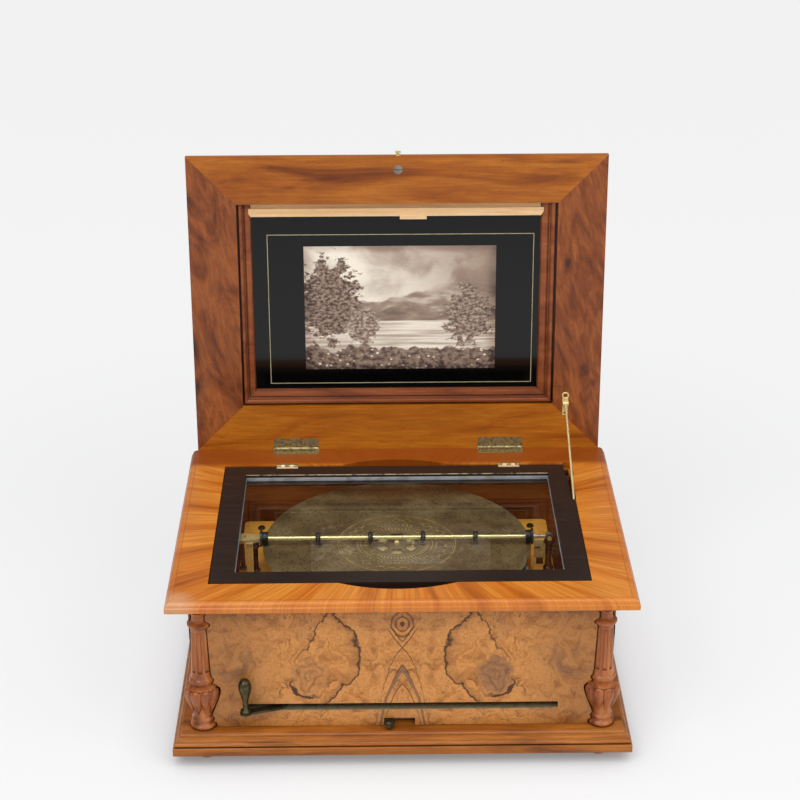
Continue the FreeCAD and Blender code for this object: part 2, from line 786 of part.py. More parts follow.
def glass_hinge_half(x, leaf, first):
    return hinge_half(
        x, GLASS_HINGE_L, GLASS_HINGE_Y, GLASS_HINGE_Z, GLASS_HINGE_R, GLASS_PIN_R, leaf, first
    )


def hinge_pins():
    pins = []
    for x in LID_HINGE_X:
        x0 = x - LID_HINGE_L / 2
        pins.append(rod(LID_PIN_R, x0, LID_HINGE_Y, LID_HINGE_Z, LID_HINGE_L, X_AXIS))
    for x in GLASS_HINGE_X:
        x0 = x - GLASS_HINGE_L / 2
        pins.append(rod(GLASS_PIN_R, x0, GLASS_HINGE_Y, GLASS_HINGE_Z, GLASS_HINGE_L, X_AXIS))
    return pins


def glass_hinge_frame_leaves():
    pieces = []
    for x in GLASS_HINGE_X:
        leaf = hinge_leaf_case(x, GLASS_HINGE_L, GLASS_HINGE_Y, TOP_Z, GLASS_LEAF_W, -1)
        pieces.append(glass_hinge_half(x, leaf, 1))
    return pieces


def glass_rest_strips():
    # Strips under the frame's ends, with a shoulder up to the top board's underside
    x0 = FRAME_X0 - FRAME_GAP
    x1 = FRAME_X1 + FRAME_GAP
    y0 = FRAME_Y0 - FRAME_GAP
    y1 = FRAME_Y1 + FRAME_GAP
    low = REST_TOP - REST_T
    ring = box(x0, x1, y0, y1, low, REST_TOP)
    hole = box(x0 + REST_W, x1 - REST_W, y0 + REST_W, y1 - REST_W, low - MARGIN, REST_TOP + MARGIN)
    middle = box(-REST_BREAK, REST_BREAK, y0 - MARGIN, y1 + MARGIN, low - MARGIN, TOP_Z)
    posts = box(x0 - MARGIN, x1 + MARGIN, y0 - MARGIN, POST_Y + FREE_GAP, low - MARGIN, TOP_Z)
    cuts = [hole, middle, posts, disc_room(low - MARGIN), stay_slot()]
    ledge_y0 = FRAME_Y0 + LEDGE_IN
    ledge_y1 = FRAME_Y1 - LEDGE_IN
    ledges = [box(x0 - LEDGE_W, x0, ledge_y0, ledge_y1, low, TOP_UNDER)]
    ledges.append(box(x1, x1 + LEDGE_W, ledge_y0, ledge_y1, low, TOP_UNDER))
    strips = fused([ring] + ledges).cut(cuts)
    return list(strips.Solids)


def glass_frame_members():
    # Ebonised frame with mitred corners and a rebate for the pane
    low = TOP_Z - FRAME_T
    xi0 = FRAME_X0 + FRAME_BORDER_X
    xi1 = FRAME_X1 - FRAME_BORDER_X
    yi0 = FRAME_Y0 + FRAME_BORDER_FRONT
    yi1 = FRAME_Y1 - FRAME_BORDER_REAR
    outer = [(FRAME_X0, FRAME_Y0), (FRAME_X1, FRAME_Y0), (FRAME_X1, FRAME_Y1), (FRAME_X0, FRAME_Y1)]
    inner = [(xi0, yi0), (xi1, yi0), (xi1, yi1), (xi0, yi1)]
    cuts = [glass_pane(), stay_slot()]
    rebate_top = TOP_Z - PANE_DROP
    cuts.append(box(xi0, xi1, yi0, yi1, low - MARGIN, rebate_top))
    for x in GLASS_HINGE_X:
        cuts.append(hinge_leaf_case(x, GLASS_HINGE_L, GLASS_HINGE_Y, TOP_Z, GLASS_LEAF_W, -1))
        cuts.append(glass_hinge_pocket(x))
    members = []
    for i in range(4):
        k = (i + 1) % 4
        outline = [V(*outer[i], low), V(*outer[k], low), V(*inner[k], low), V(*inner[i], low)]
        members.append(prism(outline, V(0, 0, FRAME_T)).cut(cuts))
    front, right, rear, left = members
    return front, rear, left, right


def glass_pane():
    xi0 = FRAME_X0 + FRAME_BORDER_X - PANE_LAP
    xi1 = FRAME_X1 - FRAME_BORDER_X + PANE_LAP
    yi0 = FRAME_Y0 + FRAME_BORDER_FRONT - PANE_LAP
    yi1 = FRAME_Y1 - FRAME_BORDER_REAR + PANE_LAP
    low = TOP_Z - PANE_DROP - PANE_T
    return box(xi0, xi1, yi0, yi1, low, low + PANE_T)


def lid_edge_profile():
    # Square edge, then a hollow that draws in towards the lid's outer board
    tall = LID_FRAME_T - LID_EDGE_T
    drawn = [(0.0, 0.0), (0.16, 0.0), (0.20, 0.22), (0.30, 0.45), (0.46, 0.66)]
    drawn += [(0.68, 0.82), (0.86, 0.88), (0.86, 0.96), (1.0, 1.0)]
    hollow = [(d * LID_EDGE_IN, LID_EDGE_T + t * tall) for d, t in drawn]
    return [(LID_FRAME_W, 0), (0, 0)] + hollow + [(LID_FRAME_W, LID_FRAME_T)]


def lid_members():
    # Four mitred walnut members round the picture
    half_d = (LID_DEPTH - LID_REAR_GAP) / 2
    middle = LID_HINGE_Y - LID_REAR_GAP - half_d
    cuts = []
    for x in LID_HINGE_X:
        cuts.append(lid_leaf(x))
        cuts.append(lid_hinge_pocket(x))
        cuts += leaf_screw_rods(x)
    cuts.append(knob_screw_solid())
    members = []
    for member in mitred_ring(LID_HALF_W, half_d, lid_edge_profile()):
        member.translate(V(0, middle, LID_FACE_Z))
        members.append(lid_turned(member.cut(cuts)))
    front, right, rear, left = members
    return rear, front, left, right


def lid_leaf(x):
    # The lid's half of a hinge lies in its downward face
    y1 = LID_HINGE_Y
    return box(
        x - LID_HINGE_L / 2, x + LID_HINGE_L / 2, y1 - LID_LEAF_W, y1, LID_FACE_Z, LID_FACE_Z + LEAF_T
    )


def leaf_screw_rods(x):
    return [leaf_screw(px) for px in leaf_screw_places(x)]


def leaf_screw_places(x):
    return [x - LEAF_SCREW_PITCH, x, x + LEAF_SCREW_PITCH]


def leaf_screw(x):
    # Countersunk screw whose head lies flush with the leaf
    y = LID_HINGE_Y - LEAF_SCREW_IN
    return countersunk(x, y, LEAF_SCREW_HEAD_R, LEAF_SCREW_R, LEAF_T - 0.1, 9.0)


def countersunk(x, y, head_r, shank_r, head_t, length):
    head = Part.makeCone(head_r, shank_r, head_t, V(x, y, LID_FACE_Z), Z_AXIS)
    return fused([head, rod(shank_r, x, y, LID_FACE_Z + head_t, length)])


def knob_screw_solid():
    # The slotted screw that holds the lift knob, its head let in flush
    y = LID_HINGE_Y - LID_DEPTH + KNOB_SCREW_IN
    return countersunk(KNOB_X, y, KNOB_SCREW_HEAD_R, KNOB_SCREW_R, 2.0, 12.0)


def lid_screws():
    # Six hinge screws and the knob screw, slotted
    screws = []
    for x in LID_HINGE_X:
        for px in leaf_screw_places(x):
            y = LID_HINGE_Y - LEAF_SCREW_IN
            screws.append(leaf_screw(px).cut(driver_slot(px, y, LEAF_SCREW_HEAD_R, 0.35, 0.7)))
    y = LID_HINGE_Y - LID_DEPTH + KNOB_SCREW_IN
    screws.append(knob_screw_solid().cut(driver_slot(KNOB_X, y, KNOB_SCREW_HEAD_R, 0.6, 1.2)))
    return [lid_turned(s) for s in screws]


def driver_slot(x, y, head_r, half, depth):
    reach = head_r + MARGIN
    return box(x - reach, x + reach, y - half, y + half, LID_FACE_Z - MARGIN, LID_FACE_Z + depth)


def lid_hinge_lid_leaves():
    pieces = []
    for x in LID_HINGE_X:
        half = lid_hinge_half(x, lid_leaf(x), 1)
        pieces.append(lid_turned(half.cut(leaf_screw_rods(x))))
    return pieces


def lid_top_panel():
    # Outer board of the lid with a chamfered edge
    w = LID_HALF_W - LID_EDGE_IN
    t0 = LID_FRAME_T
    t1 = t0 + LID_PANEL_T
    s0 = LID_REAR_GAP + LID_EDGE_IN
    s1 = LID_DEPTH - LID_EDGE_IN
    board = lid_box(-w, w, s0, s1, t0, t1)
    edges = []
    for edge in board.Edges:
        centre = edge.CenterOfMass
        if abs(centre.z - (LID_FACE_Z + t1)) < 0.01:
            edges.append(edge)
    board = board.makeChamfer(LID_CHAMFER, edges)
    return lid_turned(board)


def lid_core():
    # Board behind the picture that fills the frame's opening
    m = LID_FRAME_W
    t0 = RECESS_T + MOUNT_T
    return lid_turned(
        lid_box(-LID_HALF_W + m, LID_HALF_W - m, m + LID_REAR_GAP, LID_DEPTH - m, t0, LID_FRAME_T)
    )


def moulding_profile(width):
    # Inward distance from the frame's opening and depth from the face
    drawn = [(0.00, 0.70), (0.09, 0.72), (0.12, 0.30), (0.17, 0.22), (0.30, 0.22), (0.37, 0.30)]
    drawn += [(0.42, 0.52), (0.50, 0.58), (0.56, 0.50), (0.62, 0.44), (0.80, 0.50)]
    drawn += [(0.93, 0.58), (0.96, 0.72), (1.00, 0.86), (1.00, 1.00), (0.00, 1.00)]
    return [(d * width, t * RECESS_T) for d, t in drawn]


def picture_moulding():
    # Stepped moulding along the bottom and both sides of the picture
    half_w = LID_HALF_W - LID_FRAME_W
    y_rear = LID_HINGE_Y - LID_REAR_GAP - LID_FRAME_W
    y_front = LID_HINGE_Y - LID_DEPTH + LID_FRAME_W
    z = LID_FACE_Z
    profile = moulding_profile(MOULD_LOW_W)
    rear = prism([V(-half_w, y_rear - d, z + t) for d, t in profile], V(2 * half_w, 0, 0))
    sides = []
    for hand, width in ((-1, MOULD_LEFT_W), (1, MOULD_RIGHT_W)):
        outline = [V(hand * (half_w - d), y_front, z + t) for d, t in moulding_profile(width)]
        side = prism(outline, V(0, y_rear - y_front, 0))
        keep = side_mitre(hand, half_w, width, y_rear, y_front)
        sides.append(side.common(keep).cut(picture_strip()))
        rear = rear.cut(keep)
    return [lid_turned(p) for p in [rear] + sides]


def side_mitre(hand, half_w, width, y_rear, y_front):
    # Room of a side moulding, mitred where it meets the one along the bottom
    x = hand * half_w
    xi = hand * (half_w - 2 * width)
    y = y_rear - 2 * MOULD_LOW_W
    low = LID_FACE_Z - MARGIN
    outline = [V(x, y_rear, low), V(xi, y, low), V(xi, y_front, low), V(x, y_front, low)]
    return prism(outline, V(0, 0, LID_FRAME_T + 2 * MARGIN))


def picture_strip():
    # Bare strip with mitred ends between the side mouldings
    x0 = MOULD_LEFT_W - LID_HALF_W + LID_FRAME_W
    x1 = LID_HALF_W - LID_FRAME_W - MOULD_RIGHT_W
    s1 = LID_DEPTH - LID_FRAME_W - BAND_W
    s0 = s1 - STRIP_W
    z = LID_FACE_Z + RECESS_T - STRIP_H
    flat = [(x0, s0), (x1, s0), (x1 + STRIP_MITRE, s1), (x0 - STRIP_MITRE, s1)]
    return prism([V(x, LID_HINGE_Y - s, z) for x, s in flat], V(0, 0, STRIP_H))


def picture_battens():
    # Bare strip and darker band along the picture's front edge, and the small tab below
    x0 = MOULD_LEFT_W - LID_HALF_W + LID_FRAME_W
    x1 = LID_HALF_W - LID_FRAME_W - MOULD_RIGHT_W
    s1 = LID_DEPTH - LID_FRAME_W
    s0 = s1 - BAND_W
    band = lid_box(x0, x1, s0, s1, RECESS_T - BAND_H, RECESS_T)
    low = s0 - STRIP_W
    t0 = RECESS_T - STRIP_H
    tab_x1 = PRINT_X + TAB_W
    tab = lid_box(PRINT_X, tab_x1, low - TAB_DROP, low + TAB_DROP, t0 - TAB_T, t0)
    foot = lid_box(PRINT_X, tab_x1, low - TAB_DROP, low, t0, RECESS_T)
    return [lid_turned(fused([picture_strip(), band])), lid_turned(fused([tab, foot]))]


def picture_mount():
    # Black glass mount with a shallow window for the print
    m = LID_FRAME_W
    mount = lid_box(
        -LID_HALF_W + m, LID_HALF_W - m, m + LID_REAR_GAP, LID_DEPTH - m, RECESS_T, RECESS_T + MOUNT_T
    )
    window = lid_box(
        PRINT_X - PRINT_W / 2,
        PRINT_X + PRINT_W / 2,
        PRINT_S0,
        PRINT_S1,
        RECESS_T - 1,
        RECESS_T + PRINT_T,
    )
    return lid_turned(mount.cut(window))


def picture_print():
    return lid_turned(
        lid_box(
            PRINT_X - PRINT_W / 2,
            PRINT_X + PRINT_W / 2,
            PRINT_S0,
            PRINT_S1,
            RECESS_T,
            RECESS_T + PRINT_T,
        )
    )


def lid_knob():
    # Small turned brass knob on the lid's front edge
    y = LID_HINGE_Y - LID_DEPTH
    z = LID_FACE_Z + LID_EDGE_T / 2
    drawn = [(3.0, 0), (3.0, 0.8), (1.6, 1.4), (1.5, 2.2), (3.4, 3.2), (3.4, 4.2), (2.4, 4.6)]
    return lid_turned(turned(fitted(drawn, KNOB_R, KNOB_H), KNOB_X, y, z, V(0, -1, 0)))


def stay_point():
    # Pivot of the stay with the lid open
    point = Part.Vertex(V(0, LID_HINGE_Y - STAY_PIVOT_S, LID_FACE_Z - STAY_PIVOT_DROP))
    point = lid_turned(point)
    return point.Point


def stay_bracket():
    # Plate with two ears on the lid's face and a wire ring at its far end
    z = LID_FACE_Z
    y = LID_HINGE_Y - STAY_PIVOT_S
    pin_z = z - STAY_PIVOT_DROP
    half = STAY_PLATE_W / 2
    plate = box(STAY_X - half, STAY_X + half, y - 6.0, y + 16.0, z - STAY_PLATE_T, z)
    parts = [plate]
    for x0 in (STAY_X - half, STAY_X + half - STAY_EAR_T):
        ear = box(x0, x0 + STAY_EAR_T, y - STAY_EAR_R, y + STAY_EAR_R, pin_z, z - STAY_PLATE_T / 2)
        parts += [ear, rod(STAY_EAR_R, x0, y, pin_z, STAY_EAR_T, X_AXIS)]
    ring_y = y - 6.0 - STAY_RING_R + 0.3
    ring = Part.makeTorus(STAY_RING_R, STAY_RING_WIRE_R, V(STAY_X, ring_y, z - 1.0), Z_AXIS)
    hole = rod(1.5, STAY_X, y + 13.0, z - STAY_PLATE_T - MARGIN, STAY_PLATE_T + 2 * MARGIN)
    pin = rod(STAY_PIN_R, STAY_X - half, y, pin_z, STAY_PLATE_W, X_AXIS)
    shape = fused(parts + [ring, pin]).cut(hole)
    return lid_turned(shape)


def stay_rod():
    # Brass rod with an eye, sloping down through the slot beside the glazed frame
    p = stay_point()
    down = V(0, -math.cos(math.radians(STAY_DEG)), -math.sin(math.radians(STAY_DEG)))
    eye = rod(STAY_EYE_R, STAY_X - STAY_EYE_W / 2, p.y, p.z, STAY_EYE_W, X_AXIS)
    start = V(STAY_X, p.y, p.z)
    shaft = Part.makeCylinder(STAY_ROD_R, STAY_L, start, down)
    tip = Part.makeSphere(STAY_ROD_R + 0.3, start + down * STAY_L)
    body = fused([eye, shaft, tip])
    bore = rod(STAY_PIN_R + PIN_FIT, STAY_X - STAY_EYE_W, p.y, p.z, 2 * STAY_EYE_W, X_AXIS)
    return body.cut(bore)


def gear_outline(teeth, module, backlash, top=0.9, root=1.15):
    # Involute flanks at a pressure angle of twenty degrees, as a closed polygon
    pitch = teeth * module / 2
    base = pitch * math.cos(math.radians(20))
    tip = pitch + top * module
    low = pitch - root * module
    at_pitch = math.tan(math.radians(20)) - math.radians(20)
    half = (math.pi * module / 2 - backlash) / pitch / 2
    points = []
    start = max(low, base)
    for i in range(teeth):
        centre = 2 * math.pi * i / teeth
        flank = []
        for k in range(6):
            r = start + (tip - start) * k / 5
            spread = math.sqrt(max((r / base) ** 2 - 1, 0))
            turn = half + at_pitch - (spread - math.atan(spread))
            flank.append((r, turn))
        if low < base:
            flank.insert(0, (low, flank[0][1]))
        points += [V(r * math.cos(centre - t), r * math.sin(centre - t), 0) for r, t in flank]
        points += [
            V(r * math.cos(centre + t), r * math.sin(centre + t), 0) for r, t in reversed(flank)
        ]
    return points


def gear(teeth, module, x, y, z, thickness, turn):
    # turn is the angle of the first tooth's centre, in degrees
    wheel = prism(gear_outline(teeth, module, BACKLASH), V(0, 0, thickness))
    wheel.rotate(V(0, 0, 0), Z_AXIS, turn)
    wheel.translate(V(x, y, z))
    return wheel


def side_place():
    reach = (GREAT_TEETH + SIDE_PINION_TEETH) * GEAR_MODULE / 2
    turn = math.radians(SIDE_ANGLE)
    return MOVE_X + reach * math.cos(turn), reach * math.sin(turn)


def fly_place():
    x, y = side_place()
    reach = (SIDE_WHEEL_TEETH + FLY_TEETH) * GEAR_MODULE / 2
    turn = math.radians(FLY_ANGLE)
    return x + reach * math.cos(turn), y + reach * math.sin(turn)


def spring_barrel():
    # Barrel with the great wheel on its upper rim, bored for the arbor
    z0 = LOWER_Z + BARREL_RISE
    body_h = GREAT_Z - z0 - BARREL_RIM_H
    profile = [(BARREL_R, 0), (BARREL_R, body_h), (BARREL_RIM_R, body_h)]
    drum = turned(profile + [(BARREL_RIM_R, GREAT_Z - z0)], MOVE_X, 0, z0)
    wheel = gear(GREAT_TEETH, GEAR_MODULE, MOVE_X, 0, GREAT_Z, GEAR_T, SIDE_ANGLE)
    bore = rod(ARBOR_R + BORE_FIT, MOVE_X, 0, LOWER_Z, GREAT_Z + 2 * GEAR_T - LOWER_Z)
    return fused([drum, wheel]).cut(bore)


def winding_arbor():
    # Upright arbor with the ratchet wheel at its foot and a pivot at its head
    z0 = RATCHET_Z - 7.0
    neck_z = GREAT_Z + GEAR_T + 2.0
    shaft = rod(ARBOR_R, MOVE_X, 0, z0, neck_z - z0)
    pivot = rod(SIDE_ARBOR_R, MOVE_X, 0, neck_z, HUB_WHEEL_Z - 2.0 - neck_z)
    points = []
    step = 2 * math.pi / RATCHET_TEETH
    low = RATCHET_R - RATCHET_DEPTH
    for i in range(RATCHET_TEETH):
        turn = step * i
        points.append(V(RATCHET_R * math.cos(turn), RATCHET_R * math.sin(turn), 0))
        late = turn + step * 0.12
        points.append(V(low * math.cos(late), low * math.sin(late), 0))
    wheel = prism(points, V(0, 0, RATCHET_T))
    wheel.translate(V(MOVE_X, 0, RATCHET_Z))
    return fused([shaft, pivot, wheel])


def side_arbor():
    # Pinion driven by the barrel and the wheel that drives the hub and the fly
    x, y = side_place()
    shaft = rod(SIDE_ARBOR_R, x, y, LOWER_Z + ARBOR_END, BED_TOP - LOWER_Z - 2 * ARBOR_END)
    half = 180.0 / SIDE_PINION_TEETH
    pinion = gear(SIDE_PINION_TEETH, GEAR_MODULE, x, y, GREAT_Z, GEAR_T, SIDE_ANGLE + 180 + half)
    half = 180.0 / SIDE_WHEEL_TEETH
    turn = SIDE_ANGLE + 180 + half
    wheel = gear(SIDE_WHEEL_TEETH, GEAR_MODULE, x, y, HUB_WHEEL_Z, GEAR_T, turn)
    return fused([shaft, pinion, wheel])


def disc_hub():
    # Wheel and hub that carry the disc, with its centre pin and driving peg
    wheel = gear(HUB_TEETH, GEAR_MODULE, MOVE_X, 0, HUB_WHEEL_Z, GEAR_T, SIDE_ANGLE)
    foot_z = BED_TOP + HUB_FOOT_GAP
    neck_z = HUB_WHEEL_Z - HUB_NECK_END
    neck = rod(HUB_NECK_R, MOVE_X, 0, neck_z, foot_z + MARGIN - neck_z)
    seat = DISC_Z - foot_z
    flange = seat - HUB_FLANGE_DROP
    profile = [(HUB_FOOT_R, 0), (HUB_FOOT_R, 0.1 * seat), (HUB_STEM_R, 0.17 * seat)]
    profile += [(HUB_STEM_R, 0.73 * seat), (HUB_FLANGE_R, 0.83 * seat), (HUB_FLANGE_R, flange)]
    profile += [(HUB_SEAT_R, flange), (HUB_SEAT_R, seat), (HUB_PIN_R, seat)]
    profile += [(HUB_PIN_R, seat + 0.7 * HUB_PIN_H), (HUB_PIN_TIP_R, seat + HUB_PIN_H)]
    body = turned(profile, MOVE_X, 0, foot_z)
    peg_z = foot_z + 0.85 * seat
    peg = rod(PEG_R, MOVE_X + PEG_X, 0, peg_z, DISC_Z + PEG_H - peg_z)
    bore = rod(SIDE_ARBOR_R + BORE_FIT, MOVE_X, 0, neck_z - MARGIN, HUB_NECK_END + MARGIN + 2.0)
    return fused([wheel, neck, body, peg]).cut(bore)


def fly():
    # Pinion arbor with two thin blades that beat the air
    x, y = fly_place()
    shaft = rod(FLY_ARBOR_R, x, y, LOWER_Z + ARBOR_END, BED_TOP - LOWER_Z - 2 * ARBOR_END)
    back = FLY_ANGLE + 180
    aim = 180.0 / FLY_TEETH
    mesh = fly_mesh_turn(back, aim)
    lap = 0.5
    pinion = gear(
        FLY_TEETH, GEAR_MODULE, x, y, HUB_WHEEL_Z - lap, GEAR_T + 2 * lap, mesh
    )
    z0 = LOWER_Z + FLY_BLADE_RISE
    half_t = FLY_BLADE_T / 2
    blade = box(-FLY_BLADE_W / 2, FLY_BLADE_W / 2, -half_t, half_t, z0, z0 + FLY_BLADE_H)
    blade.translate(V(x, y, 0))
    return fused([shaft, pinion, blade])


def fly_mesh_turn(back, aim):
    # The side wheel's tooth nearest the fly decides where the pinion's gap must point
    pitch = 360.0 / SIDE_WHEEL_TEETH
    first = SIDE_ANGLE + 180 + 180.0 / SIDE_WHEEL_TEETH
    offset = (FLY_ANGLE - first) % pitch
    return back + aim + offset * SIDE_WHEEL_TEETH / FLY_TEETH


def bedplate():
    # Cast plate under the disc with rounded corners, windows and bores for the arbors
    x0 = MOVE_X - BED_HALF_X
    x1 = MOVE_X + BED_HALF_X
    plate = rounded_plate(x0, x1, -BED_HALF_Y, BED_HALF_Y, BED_Z, BED_T, BED_CORNER_R)
    sx, sy = side_place()
    fx, fy = fly_place()
    cuts = [rod(HUB_NECK_R + BORE_FIT, MOVE_X, 0, BED_Z - MARGIN, BED_T + 2 * MARGIN)]
    cuts.append(rod(SIDE_ARBOR_R + BORE_FIT, sx, sy, BED_Z - MARGIN, BED_T + 2 * MARGIN))
    cuts.append(rod(FLY_ARBOR_R + BORE_FIT, fx, fy, BED_Z - MARGIN, BED_T + 2 * MARGIN))
    y1 = BED_HALF_Y - BED_WINDOW_IN
    for x in (MOVE_X - BED_WINDOW_X, MOVE_X + BED_WINDOW_X):
        cuts.append(bed_cut(x, BED_WINDOW_HALF, y1 - BED_WINDOW_D, y1))
    y0 = BED_SLOT_IN - BED_HALF_Y
    cuts.append(bed_cut(MOVE_X - BED_SLOT_X, BED_SLOT_HALF, y0, y0 + BED_SLOT_D))
    return plate.cut(cuts)


def bed_cut(x, half, y0, y1):
    return box(x - half, x + half, y0, y1, BED_Z - MARGIN, BED_TOP + MARGIN)


def rounded_plate(x0, x1, y0, y1, z0, thickness, radius):
    plate = box(x0, x1, y0, y1, z0, z0 + thickness)
    corners = [e for e in plate.Edges if abs(e.tangentAt(e.FirstParameter).z) > 0.9]
    return plate.makeFillet(radius, corners)


def lower_plate():
    # Plate that carries the feet of the arbors
    sx, sy = side_place()
    fx, fy = fly_place()
    x0 = MOVE_X - LOWER_LEFT
    x1 = MOVE_X + LOWER_RIGHT
    plate = rounded_plate(
        x0, x1, -LOWER_HALF_Y, LOWER_HALF_Y, LOWER_Z, LOWER_T, LOWER_CORNER_R
    )
    low = LOWER_Z - MARGIN
    deep = LOWER_T + 2 * MARGIN
    cuts = [rod(ARBOR_R + BORE_FIT, MOVE_X, 0, low, deep)]
    cuts.append(rod(SIDE_ARBOR_R + BORE_FIT, sx, sy, low, deep))
    cuts.append(rod(FLY_ARBOR_R + BORE_FIT, fx, fy, low, deep))
    return plate.cut(cuts)


def bed_pillar_places():
    x = BED_HALF_X - PILLAR_IN_X
    y = BED_HALF_Y - PILLAR_IN_Y
    return [(MOVE_X + sx * x, sy * y) for sx in (-1, 1) for sy in (-1, 1)]


def pillars():
    # Four corner pillars up from the bottom board, four shorter ones between the plates
    pieces = []
    for x, y in bed_pillar_places():
        foot = rod(PILLAR_FOOT_R, x, y, FLOOR_Z, PILLAR_FOOT_T)
        pieces.append(fused([foot, rod(PILLAR_R, x, y, FLOOR_Z, BED_Z - FLOOR_Z)]))
    top = LOWER_Z + LOWER_T
    y = LOWER_HALF_Y - LOWER_PILLAR_IN
    for x in (LOWER_PILLAR_IN - LOWER_LEFT, LOWER_RIGHT - LOWER_PILLAR_IN):
        for side in (-1, 1):
            pieces.append(rod(PILLAR_R, MOVE_X + x, side * y, top, BED_Z - top))
    return pieces


def screw_head(x, y, z):
    # Round head with a straight slot
    drawn = [(4.2, 0), (4.2, 1.6), (3.0, 2.6)]
    head = turned(fitted(drawn, SCREW_R, SCREW_H), x, y, z)
    reach = SCREW_R + MARGIN
    return head.cut(box(x - reach, x + reach, y - 0.5, y + 0.5, z + 0.54 * SCREW_H, z + SCREW_H + 1))


def movement_screws():
    # Heads over the corner pillars and along the comb's base
    screws = [screw_head(x, y, BED_TOP) for x, y in bed_pillar_places()]
    top = STAR_Z - COMB_T / 2 + COMB_BASE_T
    y = comb_rear() - COMB_BASE_W / 2
    for i in range(COMB_SCREWS):
        x = STAR_X0 + COMB_SCREW_START + i * COMB_SCREW_PITCH
        screws.append(screw_head(x, y, top))
    return screws


def comb_rear():
    return -(STAR_R + COMB_GAP) - COMB_TOOTH_L


def comb_span():
    x0 = STAR_X0 - STAR_PITCH / 2
    return x0, x0 + STAR_COUNT * STAR_PITCH


def comb():
    # Steel comb: tuned teeth from the star wheels to a heavy base
    x0, x1 = comb_span()
    tip = -(STAR_R + COMB_GAP)
    rear = comb_rear()
    z0 = STAR_Z - COMB_T / 2
    half = COMB_SLIT / 2
    plate = box(x0, x1, rear - MARGIN, tip, z0, z0 + COMB_T)
    low = z0 - MARGIN
    high = z0 + COMB_T + MARGIN
    slits = []
    for i in range(STAR_COUNT + 1):
        x = x0 + i * STAR_PITCH
        slits.append(box(x - half, x + half, rear, tip + MARGIN, low, high))
    base = box(x0, x1, rear - COMB_BASE_W - MARGIN, rear - MARGIN, z0, z0 + COMB_BASE_T)
    return fused([plate.cut(slits), base])


def comb_block():
    # Cast rail that lifts the comb's base off the bedplate
    x0, x1 = comb_span()
    rear = comb_rear()
    return box(x0, x1, rear - COMB_BASE_W - MARGIN, rear - 3.0, BED_TOP, STAR_Z - COMB_T / 2)


def star_shaft_span():
    last = STAR_X0 + (STAR_COUNT - 1) * STAR_PITCH
    return STAR_X0 - STAR_SHAFT_OUT, last + STAR_SHAFT_OUT


def star_brackets():
    # Upright bracket at each end of the star wheel shaft
    x0, x1 = star_shaft_span()
    t = BRACKET_T
    w = BRACKET_HALF
    pieces = []
    for x in (x0 - t, x1):
        arm = box(x, x + t, -w, w, BED_TOP, STAR_Z + w - 1.0)
        foot = box(x - t, x + 2 * t, -w, BRACKET_FOOT, BED_TOP, BED_TOP + t)
        bore = rod(STAR_SHAFT_R + BORE_FIT, x - MARGIN, 0, STAR_Z, t + 2 * MARGIN, X_AXIS)
        pieces.append(fused([arm, foot]).cut(bore))
    return pieces


def star_wheels():
    # A row of eight-pointed wheels on one steel shaft
    x0, x1 = star_shaft_span()
    corners = 2 * STAR_POINTS
    points = []
    for i in range(corners):
        r = STAR_R if i % 2 == 0 else STAR_R * 0.62
        turn = 2 * math.pi * i / corners
        points.append(V(0, r * math.cos(turn), r * math.sin(turn)))
    star = prism(points, V(STAR_T, 0, 0))
    stars = []
    for i in range(STAR_COUNT):
        copy = star.copy()
        copy.translate(V(STAR_X0 + i * STAR_PITCH - STAR_T / 2, 0, STAR_Z))
        stars.append(copy)
    length = x1 - x0 + 2 * STAR_SHAFT_END
    shaft = rod(STAR_SHAFT_R, x0 - STAR_SHAFT_END, 0, STAR_Z, length, X_AXIS)
    return fused([shaft] + stars)


def music_disc():
    # Thin steel disc with its centre hole, peg hole and ring of windows
    low = DISC_Z - MARGIN
    deep = DISC_T + 2 * MARGIN
    disc = rod(DISC_R, MOVE_X, 0, DISC_Z, DISC_T)
    cuts = [rod(HUB_PIN_R + BORE_FIT, MOVE_X, 0, low, deep)]
    cuts.append(rod(PEG_R + PEG_FIT, MOVE_X + PEG_X, 0, low, deep))
    step = 360 / WINDOW_COUNT
    for i in range(WINDOW_COUNT):
        arc = window_solid(WINDOW_R0, WINDOW_R1, WINDOW_SPAN_DEG, deep)
        arc.rotate(V(0, 0, 0), Z_AXIS, step * (i + 0.5))
        arc.translate(V(MOVE_X, 0, low))
        cuts.append(arc)
    return disc.cut(cuts)


def window_solid(r0, r1, span, deep):
    # A ring segment with straight ends
    points = []
    steps = 6
    for i in range(steps + 1):
        t = math.radians(-span / 2 + span * i / steps)
        points.append(V(r1 * math.cos(t), r1 * math.sin(t), 0))
    for i in range(steps, -1, -1):
        t = math.radians(-span / 2 + span * i / steps)
        points.append(V(r0 * math.cos(t), r0 * math.sin(t), 0))
    return prism(points, V(0, 0, deep))


def roller_places():
    return [MOVE_X + ROLLER_PITCH * (i - (ROLLER_COUNT - 1) / 2) for i in range(ROLLER_COUNT)]


def roller(x, flange):
    # Rounded wheel that presses on the disc; the end ones reach past its rim to a flange
    drawn = [(0.82, 0.0), (0.95, 0.2), (1.0, 0.5), (0.95, 0.8), (0.82, 1.0)]
    profile = fitted(drawn, ROLLER_R, ROLLER_W)
    body = turned(profile, x - ROLLER_W / 2, 0, BAR_Z, X_AXIS)
    if flange:
        rim = MOVE_X + flange * (DISC_R + ROLLER_FLANGE_GAP)
        far = rim + flange * ROLLER_FLANGE_T
        near = x - flange * ROLLER_W / 2
        drum = rod(ROLLER_R, min(near, rim), 0, BAR_Z, abs(rim - near), X_AXIS)
        plate = rod(ROLLER_FLANGE_R, min(rim, far), 0, BAR_Z, ROLLER_FLANGE_T, X_AXIS)
        body = fused([drum, plate])
    return body.cut(rod(BAR_R + BORE_FIT, x - 2 * ROLLER_W, 0, BAR_Z, 4 * ROLLER_W, X_AXIS))


